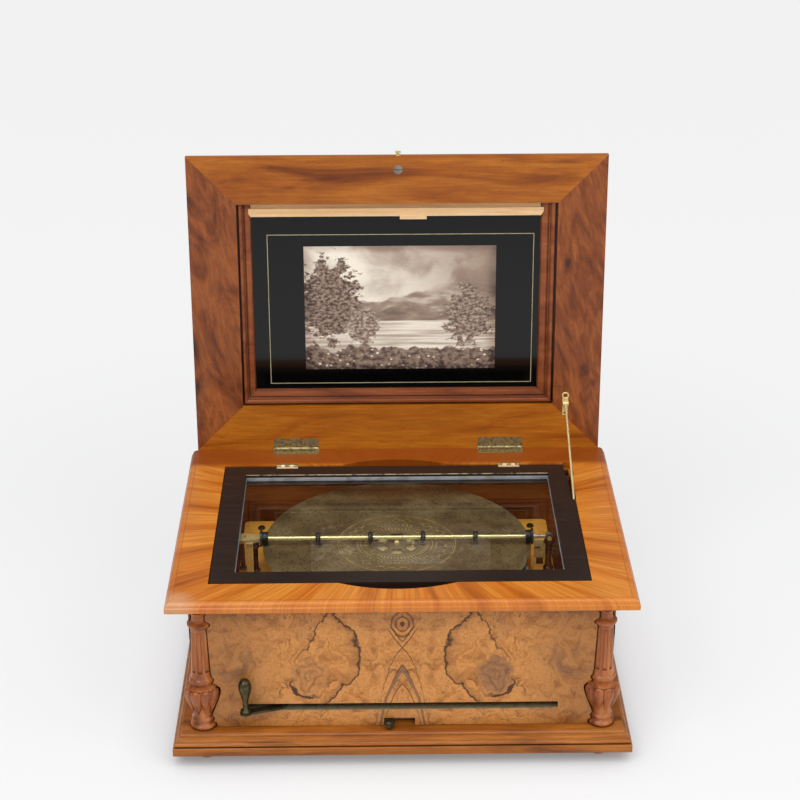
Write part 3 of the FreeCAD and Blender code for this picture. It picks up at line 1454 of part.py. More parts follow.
def rollers(side):
    places = roller_places()
    half = ROLLER_COUNT // 2
    chosen = places[:half] if side < 0 else places[half:]
    ends = (places[0], places[-1])
    return [roller(x, side if x in ends else 0) for x in chosen]


def pressure_bar():
    return rod(BAR_R, BAR_X0, 0, BAR_Z, BAR_X1 - BAR_X0, X_AXIS)


def bar_hinge_end():
    # Steel end piece with the eye that turns on the post's pin
    collar = rod(BAR_COLLAR_R, BAR_X1, 0, BAR_Z, BAR_COLLAR_W, X_AXIS)
    stem = rod(BAR_STEM_R, BAR_X1, 0, BAR_Z, BAR_PIVOT_X - BAR_X1, X_AXIS)
    eye = rod(BAR_EYE_R, BAR_PIVOT_X, -BAR_EYE_W / 2, BAR_Z, BAR_EYE_W, Y_AXIS)
    bore = rod(PIVOT_PIN_R + BORE_FIT, BAR_PIVOT_X, -BAR_EYE_W, BAR_Z, 2 * BAR_EYE_W, Y_AXIS)
    return fused([collar, stem, eye]).cut(bore)


def bar_end_plate():
    # Brass tongue at the bar's free end, resting on the left post
    drawn = [(0.00, -0.26), (0.00, 0.26), (0.50, 0.39), (0.91, 0.50), (1.00, 0.26)]
    drawn += [(1.00, -0.42), (0.77, -0.50), (0.41, -0.37)]
    z = BAR_Z - TONGUE_T / 2
    outline = [V(BAR_X0 - a * TONGUE_L, b * TONGUE_W, z) for a, b in drawn]
    plate = prism(outline, V(0, 0, TONGUE_T))
    x = BAR_X0 - 0.75 * TONGUE_L
    return plate.cut(rod(TONGUE_HOLE_R, x, 0.1 * TONGUE_W, z - MARGIN, TONGUE_T + 2 * MARGIN))


def bar_pivot_post():
    # Forked post that holds the bar's hinge pin
    drawn = [(6.0, 0), (6.0, 2.0), (4.2, 3.5), (3.6, 8.0), (3.6, 30.0), (5.0, 33.0)]
    drawn += [(6.2, 34.5), (6.2, 36.0)]
    profile = fitted(drawn, PIVOT_POST_R, PIVOT_POST_H)
    parts = [turned(profile, BAR_PIVOT_X, 0, BED_TOP)]
    inner = BAR_EYE_W / 2 + CHEEK_GAP
    low = BED_TOP + PIVOT_POST_H - 0.5
    for y in (-inner - CHEEK_T, inner):
        x = BAR_PIVOT_X
        parts.append(box(x - CHEEK_R, x + CHEEK_R, y, y + CHEEK_T, low, BAR_Z))
        parts.append(rod(CHEEK_R, x, y, BAR_Z, CHEEK_T, Y_AXIS))
    reach = inner + CHEEK_T + MARGIN
    bore = rod(PIVOT_PIN_R + PRESS_FIT, BAR_PIVOT_X, -reach, BAR_Z, 2 * reach, Y_AXIS)
    return fused(parts).cut(bore)


def bar_pivot_pin():
    out = BAR_EYE_W / 2 + CHEEK_GAP + CHEEK_T
    shaft = rod(PIVOT_PIN_R, BAR_PIVOT_X, -out, BAR_Z, 2 * out + 0.6, Y_AXIS)
    head = rod(PIVOT_PIN_HEAD_R, BAR_PIVOT_X, -out - PIVOT_PIN_HEAD_T, BAR_Z, PIVOT_PIN_HEAD_T, Y_AXIS)
    return fused([shaft, head])


def bar_rest_post():
    # Turned post with a cap under the bar's tongue
    drawn = [(5.4, 0), (5.4, 1.8), (3.8, 2.8), (3.2, 5.0), (3.1, 27.0), (3.6, 29.5)]
    drawn += [(5.2, 31.0), (5.2, 32.6), (4.4, 33.4), (4.8, 35.0), (4.8, 37.2), (3.4, 39.3)]
    return turned(fitted(drawn, REST_POST_R, REST_POST_H), REST_POST_X, 0, BED_TOP)


def bar_catch_spring():
    # Flat brass spring standing beside the tongue
    x1 = REST_POST_X - CATCH_ASIDE
    x0 = x1 - CATCH_W
    y0 = CATCH_Y - CATCH_T
    top = BAR_Z + 1.5
    blade = box(x0, x1, y0, CATCH_Y, BED_TOP, top)
    foot = box(x0, x1, CATCH_Y - CATCH_FOOT, CATCH_Y, BED_TOP, BED_TOP + CATCH_T)
    lip = box(x0, x1, CATCH_Y - CATCH_LIP, CATCH_Y, top - CATCH_T, top)
    return fused([blade, foot, lip])


def slot_strip():
    # Dark steel strip behind the lower part of the winding slot, with its sill plate
    y0 = -BODY_HALF_D + PANEL_T
    x0 = SLOT_X0 - STRIP_END
    x1 = SLOT_X1 + STRIP_END
    strip = box(x0, x1, y0, y0 + STRIP_T, SLOT_Z0 - STRIP_BELOW, SLOT_Z0 + STRIP_ABOVE)
    sill = box(SLOT_X0, SLOT_X1, -BODY_HALF_D, y0, SLOT_Z0, SLOT_Z0 + SILL_T)
    return fused([strip, sill])


def winding_lever():
    # Flat steel arm from the arbor out through the slot, cranked near its end
    hub_z = LEVER_Z + LEVER_T - LEVER_HUB_T
    hub = rod(LEVER_HUB_R, MOVE_X, 0, hub_z, LEVER_HUB_T)
    bend = V(LEVER_L - LEVER_BEND_IN, LEVER_BEND_ASIDE, LEVER_Z)
    tip = V(LEVER_L, 0, LEVER_Z)
    arm = [flat_bar(V(0, 0, LEVER_Z), bend), flat_bar(bend, tip)]
    arm.append(rod(LEVER_W / 2, bend.x, bend.y, LEVER_Z, LEVER_T))
    arm.append(rod(LEVER_END_R, tip.x, tip.y, LEVER_Z, LEVER_T))
    arm = fused(arm)
    arm.rotate(V(0, 0, 0), Z_AXIS, LEVER_REST_DEG)
    arm.translate(V(MOVE_X, 0, 0))
    bore = rod(ARBOR_R + BORE_FIT, MOVE_X, 0, hub_z - MARGIN, LEVER_HUB_T + 2 * MARGIN)
    return fused([hub, arm]).cut(bore)


def flat_bar(start, end):
    # A length of the lever's flat stock between two points
    along = end - start
    side = V(-along.y, along.x, 0)
    side.normalize()
    side = side * (LEVER_W / 2)
    corners = [start - side, end - side, end + side, start + side]
    return prism(corners, V(0, 0, LEVER_T))


def grip_place():
    turn = math.radians(LEVER_REST_DEG)
    return MOVE_X + LEVER_L * math.cos(turn), LEVER_L * math.sin(turn)


def lever_grip():
    # Turned grip standing on the end of the lever
    x, y = grip_place()
    drawn = [(5.4, 0), (5.6, 1.0), (5.6, 2.2), (4.0, 3.2), (3.1, 4.6), (2.9, 8.0), (3.1, 13.0)]
    drawn += [(4.0, 18.0), (5.5, 23.0), (6.7, 27.5), (7.0, 31.0), (6.7, 34.5), (5.6, 38.0)]
    drawn += [(3.6, 40.6), (1.0, 41.8)]
    return turned(fitted(drawn, GRIP_R, GRIP_H), x, y, LEVER_Z + LEVER_T)


def click():
    # Click that rides on the tips of the ratchet's teeth
    pivot = V(CLICK_X, CLICK_Y, RATCHET_Z)
    away = math.atan2(CLICK_Y, CLICK_X - MOVE_X)
    r = RATCHET_R + CLICK_GAP
    tip = away - math.radians(CLICK_WRAP_DEG)
    nose = V(MOVE_X + r * math.cos(tip), r * math.sin(tip), RATCHET_Z)
    along = pivot - nose
    side = V(-along.y, along.x, 0)
    side.normalize()
    thin = 0.18 * CLICK_R
    thick = 0.72 * CLICK_R
    points = [nose - side * thin, pivot - side * thick, pivot + side * thick, nose + side * thin]
    arm = prism(points, V(0, 0, RATCHET_T))
    boss = rod(CLICK_R, CLICK_X, CLICK_Y, RATCHET_Z, RATCHET_T)
    shape = fused([arm, boss])
    low = RATCHET_Z - MARGIN
    return shape.cut(rod(CLICK_PIN_R + BORE_FIT, CLICK_X, CLICK_Y, low, RATCHET_T + 2 * MARGIN))


def pivot_studs():
    # Studs for the click under the lower plate and for the stop lever on the bottom board
    upper = fused(
        [
            rod(CLICK_PIN_R, CLICK_X, CLICK_Y, RATCHET_Z, LOWER_Z - RATCHET_Z),
            rod(2 * CLICK_PIN_R, CLICK_X, CLICK_Y, RATCHET_Z - 1.2, 1.2),
        ]
    )
    lower = fused(
        [
            rod(STOP_STUD_FOOT_R, STOP_X, STOP_Y, FLOOR_Z, STOP_Z - FLOOR_Z),
            rod(STOP_STUD_R, STOP_X, STOP_Y, FLOOR_Z, STOP_Z + STOP_T - FLOOR_Z),
            rod(STOP_STUD_HEAD_R, STOP_X, STOP_Y, STOP_Z + STOP_T, 1.5),
        ]
    )
    return [upper, lower]


def stop_lever():
    # Flat lever from its stud out through the notch
    dx = STOP_KNOB_X - STOP_X
    dy = STOP_KNOB_Y - STOP_Y
    length = math.hypot(dx, dy)
    arm = box(-STOP_TAIL, length, -STOP_W / 2, STOP_W / 2, STOP_Z, STOP_Z + STOP_T)
    arm = fused([arm, rod(STOP_EYE_R, 0, 0, STOP_Z, STOP_T)])
    arm.rotate(V(0, 0, 0), Z_AXIS, math.degrees(math.atan2(dy, dx)))
    arm.translate(V(STOP_X, STOP_Y, 0))
    bore = rod(STOP_STUD_R + BORE_FIT, STOP_X, STOP_Y, STOP_Z - MARGIN, STOP_T + 2 * MARGIN)
    return arm.cut(bore)


def stop_knob():
    drawn = [(3.4, 0), (3.0, 1.0), (5.5, 2.4), (5.7, 3.4), (5.3, 4.6), (3.8, 5.6), (2.0, 6.0)]
    profile = fitted(drawn, STOP_KNOB_R, STOP_KNOB_H)
    return turned(profile, STOP_KNOB_X, STOP_KNOB_Y + STOP_KNOB_IN, STOP_Z + STOP_T)


def origin_shift():
    # Middle of the whole depth: from the plinth or the grip in front to the lid's top edge
    y = LID_HINGE_Y - LID_DEPTH + LID_EDGE_IN + LID_CHAMFER
    corner = Part.Vertex(V(0, y, LID_FACE_Z + LID_FRAME_T + LID_PANEL_T))
    rear = lid_turned(corner).Point.y
    front = min(grip_place()[1] - GRIP_R, -CASE_D / 2)
    return -(rear + front) / 2


ORIGIN_SHIFT_Y = origin_shift()


def save(name, shape):
    solids = shape if isinstance(shape, list) else [shape]
    flat = []
    for item in solids:
        flat += list(item.Solids)
    result = flat[0] if len(flat) == 1 else Part.makeCompound(flat)
    result = result.copy()
    result.translate(V(0, ORIGIN_SHIFT_Y, 0))
    result.exportStep("parts/" + name + ".step")


def case_pieces():
    # Woodwork of the case
    save("feet", feet())
    save("plinth_moulding", plinth())
    save("bottom_board", bottom_board())
    save("front_panel", front_panel())
    save("back_panel", back_panel())
    save("side_panels", side_panels())
    save("corner_posts", corner_posts())
    save("corner_columns", corner_columns())
    save("cornice_moulding", cornice())
    save("top_board", top_board())
    save("glass_rest_strips", glass_rest_strips())
    save("hinge_case_leaves", hinge_case_leaves())
    save("hinge_pins", hinge_pins())
    save("slot_strip", slot_strip())


def glass_pieces():
    # Glazed inner frame
    front, rear, left, right = glass_frame_members()
    save("glass_frame_rails", [front, rear])
    save("glass_frame_stiles", [left, right])
    save("glass_pane", glass_pane())
    save("glass_hinge_leaves", glass_hinge_frame_leaves())


def lid_pieces():
    # Lid with its picture and stay
    rear, front, left, right = lid_members()
    save("lid_rear_rail", rear)
    save("lid_front_rail", front)
    save("lid_stiles", [left, right])
    save("lid_top_panel", lid_top_panel())
    save("lid_core_board", lid_core())
    save("picture_moulding", picture_moulding())
    save("picture_battens", picture_battens())
    save("picture_mount", picture_mount())
    save("picture_print", picture_print())
    save("lid_hinge_leaves", lid_hinge_lid_leaves())
    save("lid_screws", lid_screws())
    save("lid_knob", lid_knob())
    save("stay_bracket", stay_bracket())
    save("lid_stay_rod", stay_rod())


def movement_pieces():
    # Plates, motor, comb and star wheels
    save("bedplate", bedplate())
    save("lower_plate", lower_plate())
    save("movement_pillars", pillars())
    save("movement_screws", movement_screws())
    save("comb", comb())
    save("comb_supports", [comb_block()] + star_brackets())
    save("star_wheels", star_wheels())
    save("spring_barrel", spring_barrel())
    save("winding_arbor", winding_arbor())
    save("side_arbor", side_arbor())
    save("fly", fly())
    save("disc_hub", disc_hub())
    save("music_disc", music_disc())
    save("pivot_studs", pivot_studs())
    save("click", click())


def control_pieces():
    # Pressure bar, winding lever and stop lever
    save("pressure_bar", pressure_bar())
    save("bar_hinge_end", bar_hinge_end())
    save("bar_end_plate", bar_end_plate())
    save("bar_rollers_left", rollers(-1))
    save("bar_rollers_right", rollers(1))
    save("bar_pivot_post", bar_pivot_post())
    save("bar_pivot_pin", bar_pivot_pin())
    save("bar_rest_post", bar_rest_post())
    save("bar_catch_spring", bar_catch_spring())
    save("winding_lever", winding_lever())
    save("lever_grip", lever_grip())
    save("stop_lever", stop_lever())
    save("stop_knob", stop_knob())


os.makedirs("parts", exist_ok=True)
case_pieces()
glass_pieces()
lid_pieces()
movement_pieces()
control_pieces()
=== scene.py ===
"""Looks of a disc music box in a walnut case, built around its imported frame.

Lengths are in millimetres where a name ends in _MM, and in metres elsewhere. The frame's
woodwork and metalwork keep their shapes and get their finishes here; the thin inlays,
gilt lines and small fittings are modelled here.
"""

import logging
import math
from dataclasses import dataclass, field
from enum import Enum
from typing import Sequence

import bpy
from mathutils import Matrix, Vector


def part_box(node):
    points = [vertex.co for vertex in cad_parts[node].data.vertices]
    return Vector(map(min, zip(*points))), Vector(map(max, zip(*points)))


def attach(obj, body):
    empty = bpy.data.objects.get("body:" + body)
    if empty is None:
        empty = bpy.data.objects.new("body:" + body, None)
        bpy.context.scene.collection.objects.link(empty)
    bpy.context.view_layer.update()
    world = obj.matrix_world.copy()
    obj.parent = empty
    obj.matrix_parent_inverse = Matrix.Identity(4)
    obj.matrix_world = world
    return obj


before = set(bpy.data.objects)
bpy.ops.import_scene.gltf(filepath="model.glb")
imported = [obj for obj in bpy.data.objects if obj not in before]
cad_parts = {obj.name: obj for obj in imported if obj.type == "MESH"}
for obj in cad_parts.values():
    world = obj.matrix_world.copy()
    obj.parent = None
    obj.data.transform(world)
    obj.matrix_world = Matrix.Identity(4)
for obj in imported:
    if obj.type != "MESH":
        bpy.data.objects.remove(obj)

LOG = logging.getLogger("music_box")
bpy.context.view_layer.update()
MM = 0.001

Colour = tuple[float, float, float]
Point = tuple[float, float, float]
Socket = bpy.types.NodeSocket


def case_middle() -> Vector:
    """Middle of the case on the floor, in metres."""
    low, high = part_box("plinth_moulding")
    return Vector(((low.x + high.x) / 2, (low.y + high.y) / 2, 0.0))


CASE = case_middle()


def tone(red: int, green: int, blue: int) -> Colour:
    """A colour as it looks on a screen, turned into the linear one that shaders use.

    Args:
        red: Red from 0 to 255.
        green: Green from 0 to 255.
        blue: Blue from 0 to 255.

    Returns:
        The linear colour.
    """
    parts = [v / 255 for v in (red, green, blue)]
    linear = [v / 12.92 if v <= 0.04045 else ((v + 0.055) / 1.055) ** 2.4 for v in parts]
    return linear[0], linear[1], linear[2]


class Grain(Enum):
    """The way that a piece's grain runs."""

    ACROSS = 0
    UPRIGHT = 2


class Shading:
    """A material's node tree, with one method for each step of a finish."""

    def __init__(self, name: str) -> None:
        """Starts a material with one plain shader.

        Args:
            name: The material's name.
        """
        self.material = bpy.data.materials.new(name)
        self.material.use_nodes = True
        self.tree = self.material.node_tree
        self.shader = self.tree.nodes["Principled BSDF"]
        self.output = self.tree.nodes["Material Output"]

    def node(self, kind: str) -> bpy.types.Node:
        """A new node of this kind."""
        return self.tree.nodes.new(kind)

    def feed(self, target: Socket, value: Socket | float | Colour) -> None:
        """Links a socket to another, or sets its own value.

        Args:
            target: The input socket.
            value: A socket, a number or a colour.
        """
        if isinstance(value, bpy.types.NodeSocket):
            self.tree.links.new(value, target)
        elif isinstance(value, tuple) and len(value) == 3 and target.type == "RGBA":
            target.default_value = (*value, 1.0)
        else:
            target.default_value = value

    def set(self, **values: float | Colour | Socket) -> None:
        """Sets the shader's sockets, named with underscores for spaces.

        Args:
            **values: A value or a socket for each.
        """
        for key, value in values.items():
            self.feed(self.shader.inputs[key.replace("_", " ")], value)

    def place(self, scale: Point, shift: Point = (0, 0, 0), turn: Point = (0, 0, 0)) -> Socket:
        """The piece's own coordinates about the case's middle, turned and scaled.

        Args:
            scale: Repeats to the metre along each axis.
            shift: A shift of the pattern after scaling.
            turn: A turn about each axis before scaling, in degrees.

        Returns:
            The vector socket.
        """
        source = self.node("ShaderNodeTexCoord").outputs["Object"]
        turned = self.node("ShaderNodeMapping")
        self.feed(turned.inputs["Vector"], source)
        turned.inputs["Location"].default_value = tuple(-CASE)
        spun = self.node("ShaderNodeMapping")
        self.feed(spun.inputs["Vector"], turned.outputs["Vector"])
        spun.inputs["Rotation"].default_value = [math.radians(a) for a in turn]
        sized = self.node("ShaderNodeMapping")
        self.feed(sized.inputs["Vector"], spun.outputs["Vector"])
        sized.inputs["Scale"].default_value = scale
        sized.inputs["Location"].default_value = shift
        return sized.outputs["Vector"]

    def noise(
        self,
        vector: Socket,
        scale: float = 1.0,
        detail: float = 3.0,
        roughness: float = 0.5,
        distortion: float = 0.0,
    ) -> Socket:
        """Soft random variation from 0 to 1.

        Args:
            vector: Where to read it.
            scale: Its scale.
            detail: Octaves of finer detail.
            roughness: How strong the finer detail is.
            distortion: How much it swirls.

        Returns:
            The factor socket.
        """
        texture = self.node("ShaderNodeTexNoise")
        self.feed(texture.inputs["Vector"], vector)
        texture.inputs["Scale"].default_value = scale
        texture.inputs["Detail"].default_value = detail
        texture.inputs["Roughness"].default_value = roughness
        texture.inputs["Distortion"].default_value = distortion
        return texture.outputs["Fac"]

    def cells(self, vector: Socket, scale: float = 1.0, random: float = 1.0) -> Socket:
        """Distance to the nearest of scattered points.

        Args:
            vector: Where to read it.
            scale: Points to each unit.
            random: How irregular the points are.

        Returns:
            The distance socket.
        """
        texture = self.node("ShaderNodeTexVoronoi")
        self.feed(texture.inputs["Vector"], vector)
        texture.inputs["Scale"].default_value = scale
        texture.inputs["Randomness"].default_value = random
        return texture.outputs["Distance"]

    def ramp(self, factor: Socket, stops: Sequence[tuple[float, Colour]]) -> Socket:
        """Colours by factor.

        Args:
            factor: The factor from 0 to 1.
            stops: A place and a colour for each stop, in order.

        Returns:
            The colour socket.
        """
        node = self.node("ShaderNodeValToRGB")
        self.feed(node.inputs["Fac"], factor)
        elements = node.color_ramp.elements
        elements[0].position, elements[0].color = stops[0][0], (*stops[0][1], 1.0)
        elements[1].position, elements[1].color = stops[-1][0], (*stops[-1][1], 1.0)
        for where, colour in stops[1:-1]:
            element = elements.new(where)
            element.color = (*colour, 1.0)
        return node.outputs["Color"]

    def level(self, factor: Socket, low: float, high: float, to: tuple[float, float]) -> Socket:
        """A factor stretched from low..high to another range, and held inside it.

        Args:
            factor: The factor.
            low: Where the range starts.
            high: Where it ends.
            to: The range it becomes.

        Returns:
            The stretched factor.
        """
        node = self.node("ShaderNodeMapRange")
        self.feed(node.inputs["Value"], factor)
        node.inputs["From Min"].default_value = low
        node.inputs["From Max"].default_value = high
        node.inputs["To Min"].default_value = to[0]
        node.inputs["To Max"].default_value = to[1]
        node.interpolation_type = "SMOOTHSTEP"
        return node.outputs["Result"]

    def sum(self, operation: str, *values: Socket | float) -> Socket:
        """One arithmetic step.

        Args:
            operation: Blender's name of the step.
            *values: One, two or three sockets or numbers.

        Returns:
            The result.
        """
        node = self.node("ShaderNodeMath")
        node.operation = operation
        for target, value in zip(node.inputs, values):
            self.feed(target, value)
        return node.outputs["Value"]

    def plus(self, one: Socket | float, two: Socket | float) -> Socket:
        """One value plus another."""
        return self.sum("ADD", one, two)

    def minus(self, one: Socket | float, two: Socket | float) -> Socket:
        """One value less another."""
        return self.sum("SUBTRACT", one, two)

    def times(self, one: Socket | float, two: Socket | float) -> Socket:
        """One value times another."""
        return self.sum("MULTIPLY", one, two)

    def over(self, one: Socket | float, two: Socket | float) -> Socket:
        """One value divided by another."""
        return self.sum("DIVIDE", one, two)

    def size(self, value: Socket) -> Socket:
        """A value without its sign."""
        return self.sum("ABSOLUTE", value)

    def blend(
        self, factor: Socket | float, under: Socket | Colour, over: Socket | Colour, mode: str = "MIX"
    ) -> Socket:
        """One colour over another.

        Args:
            factor: How much of the upper colour shows.
            under: The lower colour.
            over: The upper colour.
            mode: Blender's name of the way that they mix.

        Returns:
            The colour socket.
        """
        node = self.node("ShaderNodeMix")
        node.data_type = "RGBA"
        node.blend_type = mode
        self.feed(node.inputs["Factor"], factor)
        self.feed(node.inputs[6], under)
        self.feed(node.inputs[7], over)
        return node.outputs[2]

    def split(self, vector: Socket) -> tuple[Socket, Socket, Socket]:
        """The three parts of a vector."""
        node = self.node("ShaderNodeSeparateXYZ")
        self.feed(node.inputs["Vector"], vector)
        return node.outputs["X"], node.outputs["Y"], node.outputs["Z"]

    def join(self, x: Socket | float, y: Socket | float, z: Socket | float) -> Socket:
        """A vector from three parts."""
        node = self.node("ShaderNodeCombineXYZ")
        for target, value in zip(node.inputs, (x, y, z)):
            self.feed(target, value)
        return node.outputs["Vector"]

    def reach(self, x: Socket, y: Socket) -> Socket:
        """Length of a flat vector."""
        squares = self.plus(self.times(x, x), self.times(y, y))
        return self.sum("SQRT", squares)

    def line(self, value: Socket, centre: float, half: float) -> Socket:
        """1 where a value is within half of centre, else 0.

        Args:
            value: The value.
            centre: Middle of the line.
            half: Half its width.

        Returns:
            The mask.
        """
        node = self.node("ShaderNodeMath")
        node.operation = "COMPARE"
        self.feed(node.inputs[0], value)
        node.inputs[1].default_value = centre
        node.inputs[2].default_value = half
        return node.outputs["Value"]

    def emboss(self, height: Socket, strength: float, distance: float) -> None:
        """Raises the surface by a height pattern.

        Args:
            height: The pattern.
            strength: How strong it is.
            distance: Its full height in metres.
        """
        node = self.node("ShaderNodeBump")
        node.inputs["Strength"].default_value = strength
        node.inputs["Distance"].default_value = distance
        self.feed(node.inputs["Height"], height)
        self.feed(self.shader.inputs["Normal"], node.outputs["Normal"])


def stretched(along: float, across: float, grain: Grain) -> Point:
    """Scales that draw a pattern out along the grain.

    Args:
        along: Repeats to the metre along the grain.
        across: Repeats to the metre across it.
        grain: The way that the grain runs.

    Returns:
        The scale along each axis.
    """
    scale = [across] * 3
    scale[grain.value] = along
    return scale[0], scale[1], scale[2]


@dataclass(frozen=True)
class Walnut:
    """Polished walnut with figure, fine streaks and pores, and painted shade in its hollows where asked."""

    name: str
    dark: Colour
    middle: Colour
    light: Colour
    grain: Grain = Grain.ACROSS
    along: float = 5.0
    across: float = 42.0
    swirl: float = 1.1
    turn: Point = (0, 0, 0)
    shift: Point = (0, 0, 0)
    roughness: float = 0.36
    polish: float = 0.35
    # Reach in metres of the painted shade in hollows; 0 paints none.
    hollow_shade_reach: float = 0.0

    def build(self) -> bpy.types.Material:
        """The material."""
        s = Shading(self.name)
        broad = s.place(stretched(self.along, self.across, self.grain), self.shift, self.turn)
        figure = s.noise(broad, detail=5.0, roughness=0.55, distortion=self.swirl)
        colour = s.ramp(
            figure, [(0.28, self.dark), (0.44, self.middle), (0.62, self.light), (0.8, self.middle)]
        )
        fine = s.place(stretched(self.along * 5, self.across * 14, self.grain), turn=self.turn)
        streak = s.noise(fine, detail=3.0, roughness=0.6)
        colour = s.blend(s.level(streak, 0.35, 0.7, (0.34, 0.0)), colour, self.dark)
        pore_place = s.place(stretched(self.along * 26, self.across * 55, self.grain), turn=self.turn)
        pores = s.noise(pore_place, detail=1.0)
        dots = s.level(pores, 0.66, 0.74, (0.0, 0.5))
        colour = s.blend(dots, colour, tuple(c * 0.35 for c in self.dark))
        cloud = s.noise(s.place((9.0, 9.0, 9.0)), detail=2.0)
        shade = s.level(cloud, 0.3, 0.7, (0.0, 0.16))
        colour = s.blend(shade, colour, self.dark)
        # Painted shade: hollows darkened by ambient occlusion.
        if self.hollow_shade_reach:
            colour = self.shade_hollows(s, colour)
        s.set(Base_Color=colour, Roughness=s.level(streak, 0.3, 0.7, (self.roughness, self.roughness + 0.14)))
        s.set(Coat_Weight=self.polish * 0.5, Coat_Roughness=0.14, Specular_IOR_Level=0.25)
        s.emboss(s.minus(streak, s.times(dots, 0.8)), 0.35, 0.00012)
        return s.material

    def shade_hollows(self, s: Shading, colour: Socket) -> Socket:
        """Painted shade in the hollows, darkest where ambient occlusion finds them.

        Args:
            s: The tree.
            colour: The colour so far.

        Returns:
            The colour with painted shade in the hollows.
        """
        hollow = s.node("ShaderNodeAmbientOcclusion")
        hollow.inputs["Distance"].default_value = self.hollow_shade_reach
        hollow.samples = 6
        amount = s.level(hollow.outputs["AO"], 0.25, 0.85, (0.82, 0.0))
        return s.blend(amount, colour, tuple(c * 0.28 for c in self.dark))


@dataclass(frozen=True)
class RadiatingVeneer:
    """Golden walnut veneer whose grain fans out from near the board's middle, with a painted shadow of the
    lid across its rear strip.
    """

    name: str
    dark: Colour
    middle: Colour
    light: Colour
    edge: Colour
    half_w: float = 0.249
    half_d: float = 0.183
    border: float = 0.0082
    # Front-to-back span in metres over which the painted shadow of the open lid darkens the rear strip.
    lid_shadow_span: tuple[float, float] = (0.134, 0.150)
    worn_corner: tuple[float, float] = (-0.240, -0.178)

    def build(self) -> bpy.types.Material:
        """The material."""
        s = Shading(self.name)
        x, y, z = s.split(s.place((1, 1, 1)))
        away = s.plus(s.reach(x, y), 0.0001)
        ux = s.over(x, away)
        uy = s.over(y, away)
        colour = self.figure(s, ux, uy, away)
        across = s.minus(self.half_w, s.size(x))
        deep = s.minus(self.half_d, s.size(y))
        inward = s.sum("MINIMUM", across, deep)
        wear_and_glint = s.noise(s.place((60, 60, 60)), detail=3.0)
        rim = s.level(inward, self.border - 0.0007, self.border + 0.0003, (0.55, 0.0))
        colour = s.blend(s.times(rim, s.level(wear_and_glint, 0.3, 0.6, (0.5, 1.0))), colour, self.edge)
        joint = s.level(s.size(s.minus(inward, self.border)), 0.0001, 0.0008, (0.5, 0.0))
        colour = s.blend(joint, colour, self.dark)
        # Painted shadow of the open lid over the board's rear strip.
        colour = s.blend(s.level(y, *self.lid_shadow_span, (0.0, 0.92)), colour, self.dark)
        corner = s.reach(s.minus(x, self.worn_corner[0]), s.minus(y, self.worn_corner[1]))
        colour = s.blend(s.level(corner, 0.008, 0.030, (0.55, 0.0)), colour, tone(206, 160, 120))
        s.set(Base_Color=colour, Roughness=0.34, Specular_IOR_Level=0.25)
        s.set(Coat_Weight=0.2, Coat_Roughness=0.05)
        return s.material

    def figure(self, s: Shading, ux: Socket, uy: Socket, away: Socket) -> Socket:
        """Broad bands and fine streaks that run outwards.

        Args:
            s: The tree.
            ux: Sideways part of the outward direction.
            uy: Its front to back part.
            away: Distance from the middle.

        Returns:
            The colour socket.
        """

        def fan(turns: float, run: float) -> Socket:
            """Coordinates that repeat round the middle and run outwards."""
            return s.join(s.times(ux, turns), s.times(uy, turns), s.times(away, run))

        broad = s.noise(fan(9.0, 4.0), detail=4.0, roughness=0.55, distortion=0.5)
        stops = [(0.3, self.dark), (0.45, self.middle), (0.6, self.light), (0.75, self.middle)]
        colour = s.ramp(broad, stops)
        streak = s.noise(fan(95.0, 14.0), detail=3.0, roughness=0.6)
        colour = s.blend(s.level(streak, 0.35, 0.68, (0.42, 0.0)), colour, self.dark)
        s.emboss(streak, 0.2, 0.0001)
        return colour


